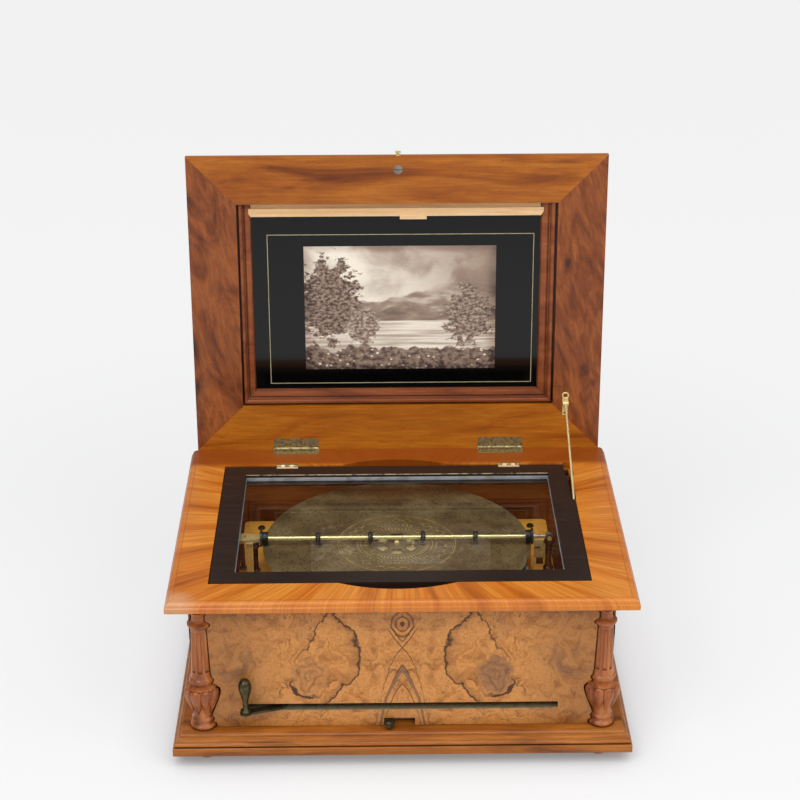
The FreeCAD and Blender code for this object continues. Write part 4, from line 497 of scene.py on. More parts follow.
@dataclass(frozen=True)
class Burr:
    """Bookmatched burr veneer: eyes, pear outlines, arches and veins mirrored about the middle."""

    name: str
    vein: Colour
    dark: Colour
    middle: Colour
    light: Colour
    smoke: Colour
    apexes: tuple[float, ...] = (0.1337, 0.1125, 0.0904)
    apex_lines: tuple[float, ...] = (0.0016, 0.0014, 0.0018)
    grey_band: float = 0.108
    crossing: tuple[float, float] = (0.1424, 0.1345)
    oval_z: float = 0.1642
    oval_rings: tuple[float, float] = (0.0075, 0.0125)
    eye_x: float = 0.0968
    eye_z: float = 0.0989
    eye_r: float = 0.0226
    pear_waist: float = 0.049
    pear_middle: float = 0.125
    pear_bend: float = 9.0
    pear_top: tuple[float, float] = (0.072, 0.177)
    pear_slope: float = 0.7

    def build(self) -> bpy.types.Material:
        """The material."""
        s = Shading(self.name)
        x, y, z = s.split(s.place((1, 1, 1)))
        half = s.size(x)
        flat = s.join(half, y, z)
        calm = s.level(half, 0.0, 0.06, (0.15, 1.0))
        wx = s.plus(half, s.times(calm, self.wander(s, s.join(half, y, z))))
        wz = s.plus(z, s.times(calm, self.wander(s, s.join(z, half, y))))
        warped = s.join(wx, y, wz)
        mottle = s.noise(warped, 46.0, detail=7.0, roughness=0.66, distortion=1.4)
        colour = s.ramp(
            mottle, [(0.3, self.dark), (0.42, self.middle), (0.55, self.light), (0.7, self.middle)]
        )
        smudge = s.noise(warped, 17.0, detail=5.0, roughness=0.6, distortion=1.0)
        outer = s.level(half, 0.09, 0.19, (0.3, 0.95))
        colour = s.blend(s.times(s.level(smudge, 0.5, 0.68, (0.0, 0.7)), outer), colour, self.smoke)
        colour = s.blend(s.level(half, 0.10, 0.20, (0.0, 0.45)), colour, self.dark)
        colour = self.arches(s, colour, wx, wz)
        colour = self.eyes(s, colour, x, wx, wz)
        colour = self.veins(s, colour, warped)
        fine = s.noise(flat, 420.0, detail=3.0, roughness=0.7)
        colour = s.blend(s.level(fine, 0.45, 0.75, (0.0, 0.35)), colour, self.dark)
        s.set(Base_Color=colour, Roughness=s.level(mottle, 0.3, 0.7, (0.3, 0.44)))
        s.set(Coat_Weight=0.14, Coat_Roughness=0.13, Specular_IOR_Level=0.25)
        s.emboss(fine, 0.2, 0.00012)
        return s.material

    @staticmethod
    def wander(s: Shading, place: Socket) -> Socket:
        """A wobble in metres that draws the figure out of true."""
        slow = s.noise(place, 17.0, detail=2.0)
        quick = s.noise(place, 75.0, detail=3.0, roughness=0.6)
        broad = s.level(slow, 0.25, 0.75, (-0.008, 0.008))
        return s.plus(broad, s.level(quick, 0.25, 0.75, (-0.0035, 0.0035)))

    def rings(self, s: Shading, colour: Socket, value: Socket, pitch: float, inside: Socket) -> Socket:
        """Dark bands with a fine vein at every step of a value.

        Args:
            s: The tree.
            colour: The colour so far.
            value: What the bands follow, in metres.
            pitch: Distance between bands in metres.
            inside: Where they show.

        Returns:
            The colour with bands.
        """
        step = s.sum("FRACT", s.over(value, pitch))
        band = s.level(s.size(s.minus(step, 0.5)), 0.05, 0.4, (0.62, 0.0))
        colour = s.blend(s.times(band, inside), colour, self.dark)
        vein = s.level(s.size(s.minus(step, 0.5)), 0.0, 0.1, (0.6, 0.0))
        return s.blend(s.times(vein, inside), colour, self.vein)

    def stroke(
        self, s: Shading, colour: Socket, value: Socket, half: float, inside: Socket | float
    ) -> Socket:
        """A dark line where a value is near zero.

        Args:
            s: The tree.
            colour: The colour so far.
            value: Distance from the line, in metres.
            half: Half the line's width in metres.
            inside: How strongly it shows.

        Returns:
            The colour with the line.
        """
        line = s.level(s.size(value), half * 0.3, half, (1.0, 0.0))
        return s.blend(s.times(line, inside), colour, self.vein)

    def arches(self, s: Shading, colour: Socket, wx: Socket, wz: Socket) -> Socket:
        """Three nested pointed arches, a crossing over them, and a small oval above.

        Args:
            s: The tree.
            colour: The colour so far.
            wx: Wandering distance from the middle line.
            wz: Wandering height.

        Returns:
            The colour with the figure drawn in.
        """
        drop = s.plus(s.times(wx, 1.2), s.times(s.times(wx, wx), 49.0))
        height = s.plus(wz, drop)
        near = s.level(wx, 0.034, 0.052, (1.0, 0.0))
        band = s.level(s.size(s.minus(height, self.grey_band)), 0.002, 0.0075, (0.75, 0.0))
        colour = s.blend(s.times(band, near), colour, self.smoke)
        for apex, half in zip(self.apexes, self.apex_lines):
            colour = self.stroke(s, colour, s.minus(height, apex), half, s.times(near, 0.8))
        rise = s.minus(wz, s.times(wx, 1.3))
        over = s.times(s.level(wz, 0.158, 0.166, (1.0, 0.0)), s.level(wx, 0.014, 0.02, (0.8, 0.0)))
        for foot in self.crossing:
            colour = self.stroke(s, colour, s.minus(rise, foot), 0.0016, over)
        oval = s.reach(wx, s.times(s.minus(wz, self.oval_z), 0.8))
        colour = s.blend(s.level(oval, 0.002, 0.0034, (0.9, 0.0)), colour, self.vein)
        for radius in self.oval_rings:
            colour = self.stroke(s, colour, s.minus(oval, radius), 0.0014, 0.7)
        return colour

    def eyes(self, s: Shading, colour: Socket, x: Socket, wx: Socket, wz: Socket) -> Socket:
        """A round eye at each side inside a pear-shaped outline, the right eye darker.

        Args:
            s: The tree.
            colour: The colour so far.
            x: Place across.
            wx: Wandering distance from the middle line.
            wz: Wandering height.

        Returns:
            The colour with the eyes drawn in.
        """
        dx = s.minus(wx, self.eye_x)
        dz = s.minus(wz, self.eye_z)
        away = s.reach(dx, s.times(dz, 0.85))
        right = s.sum("GREATER_THAN", x, 0.0)
        strength = s.plus(s.times(right, 0.4), 0.2)
        colour = s.blend(s.times(s.level(away, 0.015, 0.024, (1.0, 0.0)), strength), colour, self.smoke)
        inner = s.level(away, 0.016, 0.02, (0.45, 0.0))
        colour = self.rings(s, colour, away, 0.0078, inner)
        low = s.times(s.level(dz, -0.004, 0.012, (1.0, 0.0)), s.level(dx, -0.02, 0.0, (0.2, 0.95)))
        colour = self.stroke(s, colour, s.minus(away, self.eye_r), 0.0026, low)
        high = s.minus(wz, self.pear_middle)
        bulge = s.plus(self.pear_waist, s.times(s.times(high, high), self.pear_bend))
        side = s.minus(wx, bulge)
        under_top = s.level(wz, 0.174, 0.182, (1.0, 0.0))
        tall = s.times(s.level(wz, 0.062, 0.074, (0.0, 0.95)), under_top)
        colour = self.stroke(s, colour, side, 0.0026, tall)
        shade = s.level(side, 0.0, 0.012, (0.5, 0.0))
        beyond = s.times(s.sum("GREATER_THAN", side, 0.0), tall)
        colour = s.blend(s.times(shade, beyond), colour, self.dark)
        slope = s.plus(self.pear_top[0], s.times(s.minus(self.pear_top[1], wz), self.pear_slope))
        fading = s.times(s.level(wz, 0.112, 0.140, (0.0, 0.9)), under_top)
        return self.stroke(s, colour, s.minus(wx, slope), 0.0024, fading)

    def veins(self, s: Shading, colour: Socket, warped: Socket) -> Socket:
        """Thin dark wandering veins.

        Args:
            s: The tree.
            colour: The colour so far.
            warped: Wandering coordinates.

        Returns:
            The colour with veins.
        """
        for scale, width, strength in ((11.0, 0.006, 0.6), (32.0, 0.011, 0.5)):
            drift = s.noise(warped, scale, detail=4.0, roughness=0.55, distortion=0.8)
            off = s.size(s.minus(drift, 0.5))
            broken = s.noise(warped, 13.0, detail=2.0)
            mask = s.times(s.level(off, 0.0, width, (strength, 0.0)), s.level(broken, 0.45, 0.6, (0.0, 1.0)))
            colour = s.blend(mask, colour, self.vein)
        return colour


@dataclass(frozen=True)
class Metal:
    """Cast, turned or sheet metal with tarnish and fine marks."""

    name: str
    bright: Colour
    dull: Colour
    roughness: float = 0.3
    tarnish: float = 0.5
    scale: float = 120.0
    metallic: float = 1.0
    brushed: Grain | None = None

    def build(self) -> bpy.types.Material:
        """The material."""
        s = Shading(self.name)
        patches = s.noise(s.place((self.scale,) * 3), detail=4.0, roughness=0.6)
        colour = s.blend(s.level(patches, 0.38, 0.66, (0.0, self.tarnish)), self.bright, self.dull)
        if self.brushed is None:
            marks = s.noise(s.place((900.0,) * 3), detail=2.0)
        else:
            marks = s.noise(s.place(stretched(40.0, 2600.0, self.brushed)), detail=2.0)
        rough = s.level(patches, 0.3, 0.7, (self.roughness * 0.8, min(1.0, self.roughness * 1.5)))
        s.set(Base_Color=colour, Metallic=self.metallic, Roughness=rough)
        s.emboss(marks, 0.12, 0.00008)
        return s.material


@dataclass(frozen=True)
class Ebonised:
    """Dark stained wood with pale scratches and worn edges."""

    name: str
    stain: Colour
    rubbed: Colour

    def build(self) -> bpy.types.Material:
        """The material."""
        s = Shading(self.name)
        streak = s.noise(s.place(stretched(8.0, 300.0, Grain.ACROSS)), detail=3.0)
        colour = s.blend(s.level(streak, 0.45, 0.75, (0.0, 0.6)), self.stain, self.rubbed)
        scratch = s.noise(s.place((20.0, 420.0, 20.0), turn=(0, 0, 24)), detail=2.0)
        colour = s.blend(s.level(scratch, 0.72, 0.76, (0.0, 0.3)), colour, tone(120, 112, 100))
        s.set(Base_Color=colour, Roughness=s.level(streak, 0.3, 0.7, (0.34, 0.48)))
        s.set(Coat_Weight=0.1, Coat_Roughness=0.16, Specular_IOR_Level=0.25)
        s.emboss(streak, 0.2, 0.0001)
        return s.material


@dataclass(frozen=True)
class ClearPane:
    """Window glass that lets lamps through and mirrors what stands over it."""

    name: str
    tint: Colour
    shine: float

    def build(self) -> bpy.types.Material:
        """The material."""
        s = Shading(self.name)
        clear = s.node("ShaderNodeBsdfTransparent")
        clear.inputs["Color"].default_value = (*self.tint, 1.0)
        mirror = s.node("ShaderNodeBsdfGlossy")
        mirror.inputs["Color"].default_value = (1, 1, 1, 1)
        smears = s.noise(s.place((14.0, 30.0, 14.0)), detail=4.0)
        s.feed(mirror.inputs["Roughness"], s.level(smears, 0.5, 0.8, (0.005, 0.03)))
        edge_on = s.node("ShaderNodeFresnel")
        edge_on.inputs["IOR"].default_value = 1.5
        inside = s.node("ShaderNodeNewGeometry").outputs["Backfacing"]
        front = s.minus(1.0, inside)
        share = s.times(s.times(edge_on.outputs["Fac"], front), self.shine)
        mixed = s.node("ShaderNodeMixShader")
        s.feed(mixed.inputs[0], s.sum("MINIMUM", share, 1.0))
        s.feed(mixed.inputs[1], clear.outputs["BSDF"])
        s.feed(mixed.inputs[2], mirror.outputs["BSDF"])
        s.feed(s.output.inputs["Surface"], mixed.outputs["Shader"])
        s.tree.nodes.remove(s.shader)
        return s.material


@dataclass(frozen=True)
class BlackGlass:
    """The mount: glass backed with black."""

    name: str
    black: Colour

    def build(self) -> bpy.types.Material:
        """The material."""
        s = Shading(self.name)
        dust = s.noise(s.place((700.0,) * 3), detail=2.0)
        colour = s.blend(s.level(dust, 0.72, 0.8, (0.0, 0.12)), self.black, tone(90, 88, 84))
        s.set(Base_Color=colour, Roughness=s.level(dust, 0.4, 0.8, (0.05, 0.12)))
        s.set(Specular_IOR_Level=0.3)
        return s.material


@dataclass(frozen=True)
class LakePrint:
    """A plain sepia view of hills, water and trees under a pale sky."""

    name: str
    paper: Colour
    ink: Colour
    left: float
    right: float
    low: float
    high: float

    def build(self) -> bpy.types.Material:
        """The material."""
        s = Shading(self.name)
        x, y, z = s.split(s.place((1, 1, 1)))
        u = self.share(s, x, self.left, self.right)
        v = self.share(s, z, self.low, self.high)
        flat = s.join(u, v, 0.0)
        depth = self.sky(s, flat, v)
        depth = self.hill(s, depth, u, v, 0.60, 0.16, 3.1, 0.46, 1.7)
        depth = self.hill(s, depth, u, v, 0.50, 0.20, 4.3, 0.62, 5.2)
        depth = self.water(s, depth, flat, v)
        depth = self.trees(s, depth, u, v, flat)
        depth = self.bank(s, depth, u, v, flat)
        rim = s.sum("MAXIMUM", self.off(s, u), self.off(s, v))
        depth = s.plus(depth, s.level(rim, 0.43, 0.5, (0.0, 0.22)))
        grainy = s.noise(s.place((1500.0,) * 3), detail=1.0)
        depth = s.plus(depth, s.level(grainy, 0.3, 0.7, (-0.03, 0.03)))
        colour = s.ramp(depth, [(0.0, self.paper), (0.5, tone(158, 134, 116)), (1.0, self.ink)])
        s.set(Base_Color=colour, Roughness=0.32)
        return s.material

    @staticmethod
    def share(s: Shading, value: Socket, low: float, high: float) -> Socket:
        """Where a value lies between two ends, from 0 to 1."""
        return s.over(s.minus(value, low), high - low)

    @staticmethod
    def off(s: Shading, value: Socket) -> Socket:
        """Distance from one half."""
        return s.size(s.minus(value, 0.5))

    @staticmethod
    def sky(s: Shading, flat: Socket, v: Socket) -> Socket:
        """Pale sky with soft clouds, darker to one corner."""
        clouds = s.noise(flat, 3.4, detail=5.0, roughness=0.55, distortion=0.4)
        u = s.split(flat)[0]
        lean = s.level(s.plus(u, s.times(v, 0.4)), 0.55, 1.4, (0.0, 0.45))
        return s.plus(s.level(clouds, 0.42, 0.68, (0.04, 0.3)), lean)

    @staticmethod
    def hill(
        s: Shading,
        depth: Socket,
        u: Socket,
        v: Socket,
        base: float,
        tall: float,
        rate: float,
        ink: float,
        seed: float,
    ) -> Socket:
        """A ridge in front of what is there already.

        Args:
            s: The tree.
            depth: The picture's darkness so far.
            u: Place across.
            v: Place up.
            base: Height of the ridge's middle.
            tall: How much it rises and falls.
            rate: How often it does.
            ink: Its darkness.
            seed: Which ridge.

        Returns:
            The darkness with the ridge.
        """
        ridge = s.noise(s.join(s.times(u, rate), seed, 0.0), 1.0, detail=4.0, roughness=0.5)
        top = s.plus(s.times(s.minus(ridge, 0.5), tall * 2), base)
        inside = s.level(s.minus(top, v), -0.006, 0.012, (0.0, 1.0))
        folds = s.noise(s.join(s.times(u, 5.0), s.times(v, 9.0), seed), 2.0, detail=5.0)
        tint = s.level(folds, 0.3, 0.7, (ink - 0.16, ink + 0.14))
        return mixed_number(s, inside, depth, tint)

    @staticmethod
    def water(s: Shading, depth: Socket, flat: Socket, v: Socket) -> Socket:
        """Still water below the hills, with level streaks."""
        inside = s.level(s.minus(0.40, v), -0.004, 0.008, (0.0, 1.0))
        u = s.split(flat)[0]
        streaks = s.noise(s.join(s.times(u, 2.5), s.times(v, 42.0), 0.0), 1.0, detail=4.0)
        return mixed_number(s, inside, depth, s.level(streaks, 0.35, 0.65, (0.06, 0.4)))

    @staticmethod
    def trees(s: Shading, depth: Socket, u: Socket, v: Socket, flat: Socket) -> Socket:
        """Three clumps of trees, each with its middle, its reach and its ink, with a ragged edge."""
        ragged = s.noise(flat, 17.0, detail=6.0, roughness=0.7)
        left = (0.13, 0.56, 0.17, 0.36, 0.8)
        right = (0.86, 0.44, 0.13, 0.27, 0.72)
        shore = (0.30, 0.36, 0.09, 0.16, 0.66)
        for cx, cy, wide, tall, ink in (left, right, shore):
            dx = s.over(s.minus(u, cx), wide)
            dy = s.over(s.minus(v, cy), tall)
            away = s.plus(s.reach(dx, dy), s.level(ragged, 0.25, 0.75, (-0.42, 0.42)))
            inside = s.level(away, 0.84, 0.92, (1.0, 0.0))
            leaves = s.noise(flat, 46.0, detail=4.0, roughness=0.7)
            depth = mixed_number(s, inside, depth, s.level(leaves, 0.38, 0.62, (ink + 0.18, ink - 0.34)))
        return depth

    @staticmethod
    def bank(s: Shading, depth: Socket, u: Socket, v: Socket, flat: Socket) -> Socket:
        """Grass and blossom along the foreground."""
        edge = s.noise(s.join(s.times(u, 5.0), 9.0, 0.0), 1.0, detail=5.0)
        top = s.level(edge, 0.25, 0.75, (0.08, 0.26))
        inside = s.level(s.minus(top, v), -0.006, 0.01, (0.0, 1.0))
        blossom = s.cells(flat, 26.0)
        tufts = s.noise(flat, 30.0, detail=5.0, roughness=0.7)
        dark = s.level(tufts, 0.36, 0.64, (0.95, 0.5))
        dark = s.minus(dark, s.level(blossom, 0.12, 0.26, (0.6, 0.0)))
        return mixed_number(s, inside, depth, dark)


def mixed_number(s: Shading, factor: Socket, under: Socket, over: Socket) -> Socket:
    """One number over another by a factor.

    Args:
        s: The tree.
        factor: How much of the upper number shows.
        under: The lower number.
        over: The upper number.

    Returns:
        The number between them.
    """
    part = s.times(s.minus(over, under), factor)
    return s.plus(under, part)


@dataclass(frozen=True)
class TuneDisc:
    """Browned steel with faint gilt rings, scallops and the marks of its tune."""

    name: str
    steel: Colour
    brown: Colour
    gilt: Colour
    middle_x: float

    def build(self) -> bpy.types.Material:
        """The material."""
        s = Shading(self.name)
        x, y, z = s.split(s.place((1, 1, 1), shift=(-self.middle_x, 0, 0)))
        away = s.reach(x, y)
        angle = s.sum("ARCTAN2", y, x)
        patches = s.noise(s.place((22.0, 22.0, 22.0)), detail=6.0, roughness=0.65, distortion=0.6)
        colour = s.ramp(patches, [(0.3, self.brown), (0.55, self.steel), (0.75, tone(150, 132, 98))])
        marks = self.tune(s, away, angle)
        colour = s.blend(s.times(marks, 0.5), colour, tone(38, 30, 20))
        wear_and_glint = s.level(s.noise(s.place((90.0,) * 3), detail=4.0), 0.36, 0.6, (0.15, 0.9))
        colour = s.blend(s.times(self.ornament(s, away, angle), wear_and_glint), colour, self.gilt)
        s.set(Base_Color=colour, Metallic=0.55, Roughness=s.level(patches, 0.3, 0.7, (0.42, 0.6)))
        s.emboss(s.minus(1.0, marks), 0.4, 0.0003)
        return s.material

    @staticmethod
    def tune(s: Shading, away: Socket, angle: Socket) -> Socket:
        """Small marks in tracks round the disc, placed at random."""
        track = s.over(away, 0.0032)
        step = s.times(angle, 26.0)
        cell = s.node("ShaderNodeTexWhiteNoise")
        cell.noise_dimensions = "2D"
        s.feed(cell.inputs["Vector"], s.join(s.sum("FLOOR", track), s.sum("FLOOR", step), 0.0))
        chosen = s.sum("GREATER_THAN", cell.outputs["Value"], 0.74)
        across = s.size(s.minus(s.sum("FRACT", track), 0.5))
        along = s.size(s.minus(s.sum("FRACT", step), 0.5))
        inside = s.times(s.sum("LESS_THAN", across, 0.3), s.sum("LESS_THAN", along, 0.34))
        ring = s.times(s.sum("GREATER_THAN", away, 0.0735), s.sum("LESS_THAN", away, 0.1475))
        return s.times(s.times(chosen, inside), ring)

    @staticmethod
    def ornament(s: Shading, away: Socket, angle: Socket) -> Socket:
        """Gilt rings, a row of scallops and a row of small lozenges."""
        total = s.line(away, 0.0665, 0.0006)
        for radius, half in ((0.0640, 0.0002), (0.0405, 0.0005), (0.0290, 0.0003)):
            total = s.sum("MAXIMUM", total, s.line(away, radius, half))
        swing = s.size(s.sum("SINE", s.times(angle, 14.0)))
        curve = s.plus(s.times(swing, 0.0085), 0.0475)
        total = s.sum("MAXIMUM", total, s.line(s.minus(away, curve), 0.0, 0.0006))
        curve = s.plus(s.times(swing, -0.0055), 0.0605)
        total = s.sum("MAXIMUM", total, s.line(s.minus(away, curve), 0.0, 0.0005))
        beat = s.size(s.minus(s.sum("FRACT", s.times(angle, 28 / math.pi)), 0.5))
        off = s.over(s.size(s.minus(away, 0.0448)), 0.0022)
        lozenge = s.sum("LESS_THAN", s.plus(s.times(beat, 3.0), off), 0.9)
        total = s.sum("MAXIMUM", total, lozenge)
        fan = s.sum("GREATER_THAN", s.sum("SINE", s.times(angle, 56.0)), 0.2)
        band = s.sum("LESS_THAN", s.size(s.minus(away, 0.0345)), 0.0028)
        return s.sum("MAXIMUM", total, s.times(fan, band))


@dataclass
class Finishes:
    """Every finish of the box, built once."""

    made: dict[str, bpy.types.Material] = field(default_factory=dict)

    def get(self, finish: object) -> bpy.types.Material:
        """The material of a finish, built at its first use."""
        if finish.name not in self.made:
            self.made[finish.name] = finish.build()
        return self.made[finish.name]


FINISHES = Finishes()

TOP_VENEER = RadiatingVeneer(
    "top_veneer", tone(134, 62, 10), tone(202, 114, 30), tone(222, 142, 54), tone(196, 112, 44),
)
RAIL_WOOD = Walnut(
    "rail_walnut", tone(100, 46, 12), tone(166, 90, 20), tone(186, 110, 32),
    swirl=1.6, across=26.0,
)
REAR_RAIL_WOOD = Walnut(
    "rear_rail_walnut", tone(110, 54, 8), tone(174, 94, 12), tone(194, 116, 22),
    swirl=1.3, across=30.0, shift=(3.1, 0, 7.7),
)
STILE_WOOD = Walnut(
    "stile_walnut", tone(60, 32, 20), tone(132, 66, 28), tone(166, 92, 42),
    Grain.UPRIGHT, along=9.0, across=24.0, swirl=2.6, turn=(0, 14, 0),
)
LID_BACK_WOOD = Walnut(
    "lid_back_walnut", tone(96, 46, 18), tone(160, 82, 30), tone(184, 104, 44),
    swirl=1.4, across=26.0,
)
MOULDING_WOOD = Walnut(
    "moulding_walnut", tone(80, 34, 14), tone(136, 68, 30), tone(160, 88, 42),
    polish=0.7, hollow_shade_reach=0.005,
)
BARE_WOOD = Walnut(
    "bare_pine", tone(206, 158, 108), tone(236, 196, 146), tone(244, 210, 164),
    across=70.0, roughness=0.7, polish=0.0,
)
PLAIN_WOOD = Walnut(
    "plain_board", tone(130, 84, 44), tone(176, 118, 64), tone(196, 138, 80),
    across=50.0, roughness=0.7, polish=0.0,
)
BASE_WOOD = Walnut(
    "base_walnut", tone(82, 40, 10), tone(166, 94, 28), tone(196, 120, 42),
    across=44.0, hollow_shade_reach=0.006,
)
CORNICE_WOOD = Walnut(
    "cornice_walnut", tone(96, 46, 16), tone(170, 90, 32), tone(196, 114, 46),
    across=44.0, hollow_shade_reach=0.006,
)
COLUMN_WOOD = Walnut(
    "column_walnut", tone(92, 42, 14), tone(172, 94, 42), tone(204, 126, 66),
    Grain.UPRIGHT, across=60.0, polish=0.75, hollow_shade_reach=0.0045,
)
SIDE_WOOD = Walnut(
    "side_walnut", tone(104, 56, 24), tone(170, 102, 50), tone(196, 128, 70),
    Grain.UPRIGHT, along=8.0, across=24.0, swirl=2.6,
)
FRONT_BURR = Burr(
    "front_burr",
    tone(56, 30, 18), tone(112, 66, 32), tone(184, 118, 54), tone(210, 144, 76), tone(112, 84, 66),
)
EBONY = Ebonised("ebonised_wood", tone(34, 25, 21), tone(50, 38, 32))
PANE = ClearPane("window_glass", (0.97, 0.985, 0.975), 1.0)
MOUNT = BlackGlass("black_glass", tone(4, 4, 4))
OLD_BRASS = Metal("old_brass", tone(172, 152, 104), tone(92, 78, 52), 0.38, 0.8, 260.0, metallic=0.7)
# Hinge brass paled so that its knuckles show as thin pale bars: brass colour with a painted highlight.
HINGE_BRASS_AND_GLINT = Metal(
    "hinge_brass_and_glint", tone(232, 206, 168), tone(180, 150, 104),
    0.4, 0.4, 260.0, metallic=0.3,
)
BRASS = Metal("bright_brass", tone(240, 218, 150), tone(190, 158, 92), 0.3, 0.4, 160.0, metallic=0.55)
BAR_BRASS = Metal(
    "bar_brass", tone(246, 230, 172), tone(190, 158, 96),
    0.25, 0.25, 60.0, metallic=0.7, brushed=Grain.ACROSS,
)
GILT = Metal("gilt_line", tone(176, 164, 128), tone(140, 126, 92), 0.4, 0.5, 90.0, metallic=0.2)
STEEL = Metal("ground_steel", tone(184, 182, 176), tone(116, 112, 104), 0.32, 0.5, 140.0, metallic=0.8)
SCREW_STEEL = Metal("screw_steel", tone(150, 146, 138), tone(92, 88, 80), 0.4, 0.5, 140.0, metallic=0.7)
DARK_STEEL = Metal("dark_steel", tone(74, 76, 60), tone(38, 44, 34), 0.42, 0.7, 90.0)
SILL_STEEL = Metal("sill_steel", tone(126, 116, 88), tone(84, 78, 58), 0.45, 0.6, 120.0, metallic=0.2)
NOTCH_STEEL = Metal("notch_plate_steel", tone(150, 152, 150), tone(96, 96, 92), 0.4, 0.5, 200.0, metallic=0.3)
GRIP_STEEL = Metal("grip_bronze", tone(92, 84, 60), tone(40, 38, 28), 0.34, 0.8, 110.0)
POST_STEEL = Metal("post_bronze", tone(84, 56, 38), tone(44, 28, 22), 0.3, 0.6, 150.0, metallic=0.6)
GOLD_PAINT = Metal("gold_painted_iron", tone(252, 178, 66), tone(206, 126, 34), 0.5, 0.5, 60.0, metallic=0.15)
JAPANNED = Metal("black_roller", tone(26, 28, 24), tone(12, 12, 12), 0.35, 0.5, 200.0, metallic=0.2)
# Pale grey strips that stand in for the glint along the pane's edges: painted highlight.
PANE_EDGE_GLINT = Metal("painted_pane_edge_glint", tone(150, 152, 158), tone(112, 108, 104), 0.5, 0.7, 60.0, metallic=0.0)
# A pale strip along the frame's rear arris: painted highlight, broken up by patches.
EDGE_HIGHLIGHT = Metal("painted_edge_highlight", tone(196, 176, 140), tone(60, 46, 38), 0.6, 1.0, 130.0, metallic=0.0)
CREAM_PLATE = Metal(
    "cream_brass_plate", tone(246, 226, 156), tone(206, 172, 96),
    0.5, 0.7, 240.0, metallic=0.15,
)
DARK_MARK = Metal("dark_mark", tone(60, 44, 30), tone(30, 24, 18), 0.6, 0.5, 200.0, metallic=0.0)


def dress(node: str, finish: object) -> None:
    """Gives a frame piece its finish.

    Args:
        node: The piece's name.
        finish: Its finish.
    """
    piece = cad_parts[node]
    piece.data.materials.clear()
    piece.data.materials.append(FINISHES.get(finish))
    LOG.info("%s: %s", node, finish.name)


def dress_all(finishes: dict[str, object]) -> None:
    """Gives several frame pieces their finishes, named by node."""
    for node, finish in finishes.items():
        dress(node, finish)


def deselect() -> None:
    """Leaves nothing selected, in object mode."""
    if bpy.context.object and bpy.context.object.mode != "OBJECT":
        bpy.ops.object.mode_set(mode="OBJECT")
    bpy.ops.object.select_all(action="DESELECT")


def settle(piece: bpy.types.Object, name: str, matrix: Matrix | None = None) -> bpy.types.Object:
    """Names a new piece and moves its place into its mesh.

    Args:
        piece: The piece.
        name: Its name.
        matrix: A last move of the finished shape.

    Returns:
        The piece.
    """
    if bpy.context.object and bpy.context.object.mode != "OBJECT":
        bpy.ops.object.mode_set(mode="OBJECT")
    piece.name = name
    piece.data.name = name
    if matrix is not None:
        piece.matrix_world = matrix @ piece.matrix_world
    deselect()
    piece.select_set(True)
    bpy.context.view_layer.objects.active = piece
    bpy.ops.object.transform_apply(location=True, rotation=True, scale=True)
    bpy.ops.object.mode_set(mode="EDIT")
    bpy.ops.mesh.select_all(action="SELECT")
    bpy.ops.mesh.remove_doubles(threshold=0.000001)
    bpy.ops.mesh.normals_make_consistent(inside=False)
    bpy.ops.object.mode_set(mode="OBJECT")
    bpy.ops.object.shade_smooth_by_angle(angle=math.radians(32))
    deselect()
    return piece


def finish_piece(piece: bpy.types.Object, finish: object, body: str) -> None:
    """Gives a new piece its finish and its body.

    Args:
        piece: The piece.
        finish: Its finish.
        body: The body it rides on.
    """
    piece.data.materials.clear()
    piece.data.materials.append(FINISHES.get(finish))
    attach(piece, body)
    LOG.info("%s on %s: %s", piece.name, body, finish.name)


def block(
    name: str, low_mm: Point, high_mm: Point, finish: object, body: str, soft_mm: float = 0.3
) -> None:
    """A box with softened edges, placed about the case's middle.

    Args:
        name: Its name.
        low_mm: Its lowest corner.
        high_mm: Its highest corner.
        finish: Its finish.
        body: The body that it rides on.
        soft_mm: How far its edges are bevelled.
    """
    deselect()
    low, high = Vector(low_mm) * MM, Vector(high_mm) * MM
    bpy.ops.mesh.primitive_cube_add(size=1, location=CASE + (low + high) / 2)
    piece = bpy.context.object
    piece.scale = high - low
    bpy.ops.object.transform_apply(location=False, rotation=False, scale=True)
    bpy.ops.object.modifier_add(type="BEVEL")
    piece.modifiers["Bevel"].width = soft_mm * MM
    piece.modifiers["Bevel"].segments = 2
    bpy.ops.object.modifier_apply(modifier="Bevel")
    finish_piece(settle(piece, name), finish, body)


def post(
    name: str, foot_mm: Point, rings_mm: Sequence[tuple[float, float]], finish: object
) -> None:
    """A turned post on the case, drawn out ring by ring from its foot.

    Args:
        name: Its name.
        foot_mm: Middle of its foot about the case's middle.
        rings_mm: A radius and a height for each ring, from the foot up.
        finish: Its finish.
    """
    deselect()
    place = CASE + Vector(foot_mm) * MM
    rings = [(radius * MM, height * MM) for radius, height in rings_mm]
    bpy.ops.mesh.primitive_circle_add(vertices=32, radius=rings[0][0], fill_type="NGON", location=place)
    piece = bpy.context.object
    bpy.ops.object.mode_set(mode="EDIT")
    bpy.ops.mesh.select_all(action="SELECT")
    for (r0, z0), (r1, z1) in zip(rings, rings[1:]):
        bpy.ops.mesh.extrude_region_move(TRANSFORM_OT_translate={"value": (0, 0, z1 - z0)})
        centre = place + Vector((0, 0, z1 - rings[0][1]))
        bpy.ops.transform.resize(value=(r1 / r0, r1 / r0, 1), center_override=centre)
    finish_piece(settle(piece, name), finish, "case")


@dataclass
class LidPlane:
    """The open lid's own coordinates: x across, s up from the hinge line, t into the lid."""

    hinge_y: float = 183.0 * MM
    hinge_z: float = 204.5 * MM
    face: float = 1.0 * MM
    open_deg: float = 93.7

    def matrix(self) -> Matrix:
        """Turns a flat layout, x across, y for s and -z for t, into place."""
        lean = math.radians(self.open_deg - 90)
        up = Vector((0, math.sin(lean), math.cos(lean)))
        into = Vector((0, math.cos(lean), -math.sin(lean)))
        start = Vector((CASE.x, CASE.y + self.hinge_y, self.hinge_z)) + into * self.face
        turned = Matrix((Vector((1, 0, 0)), up, -into)).transposed().to_4x4()
        return Matrix.Translation(start) @ turned


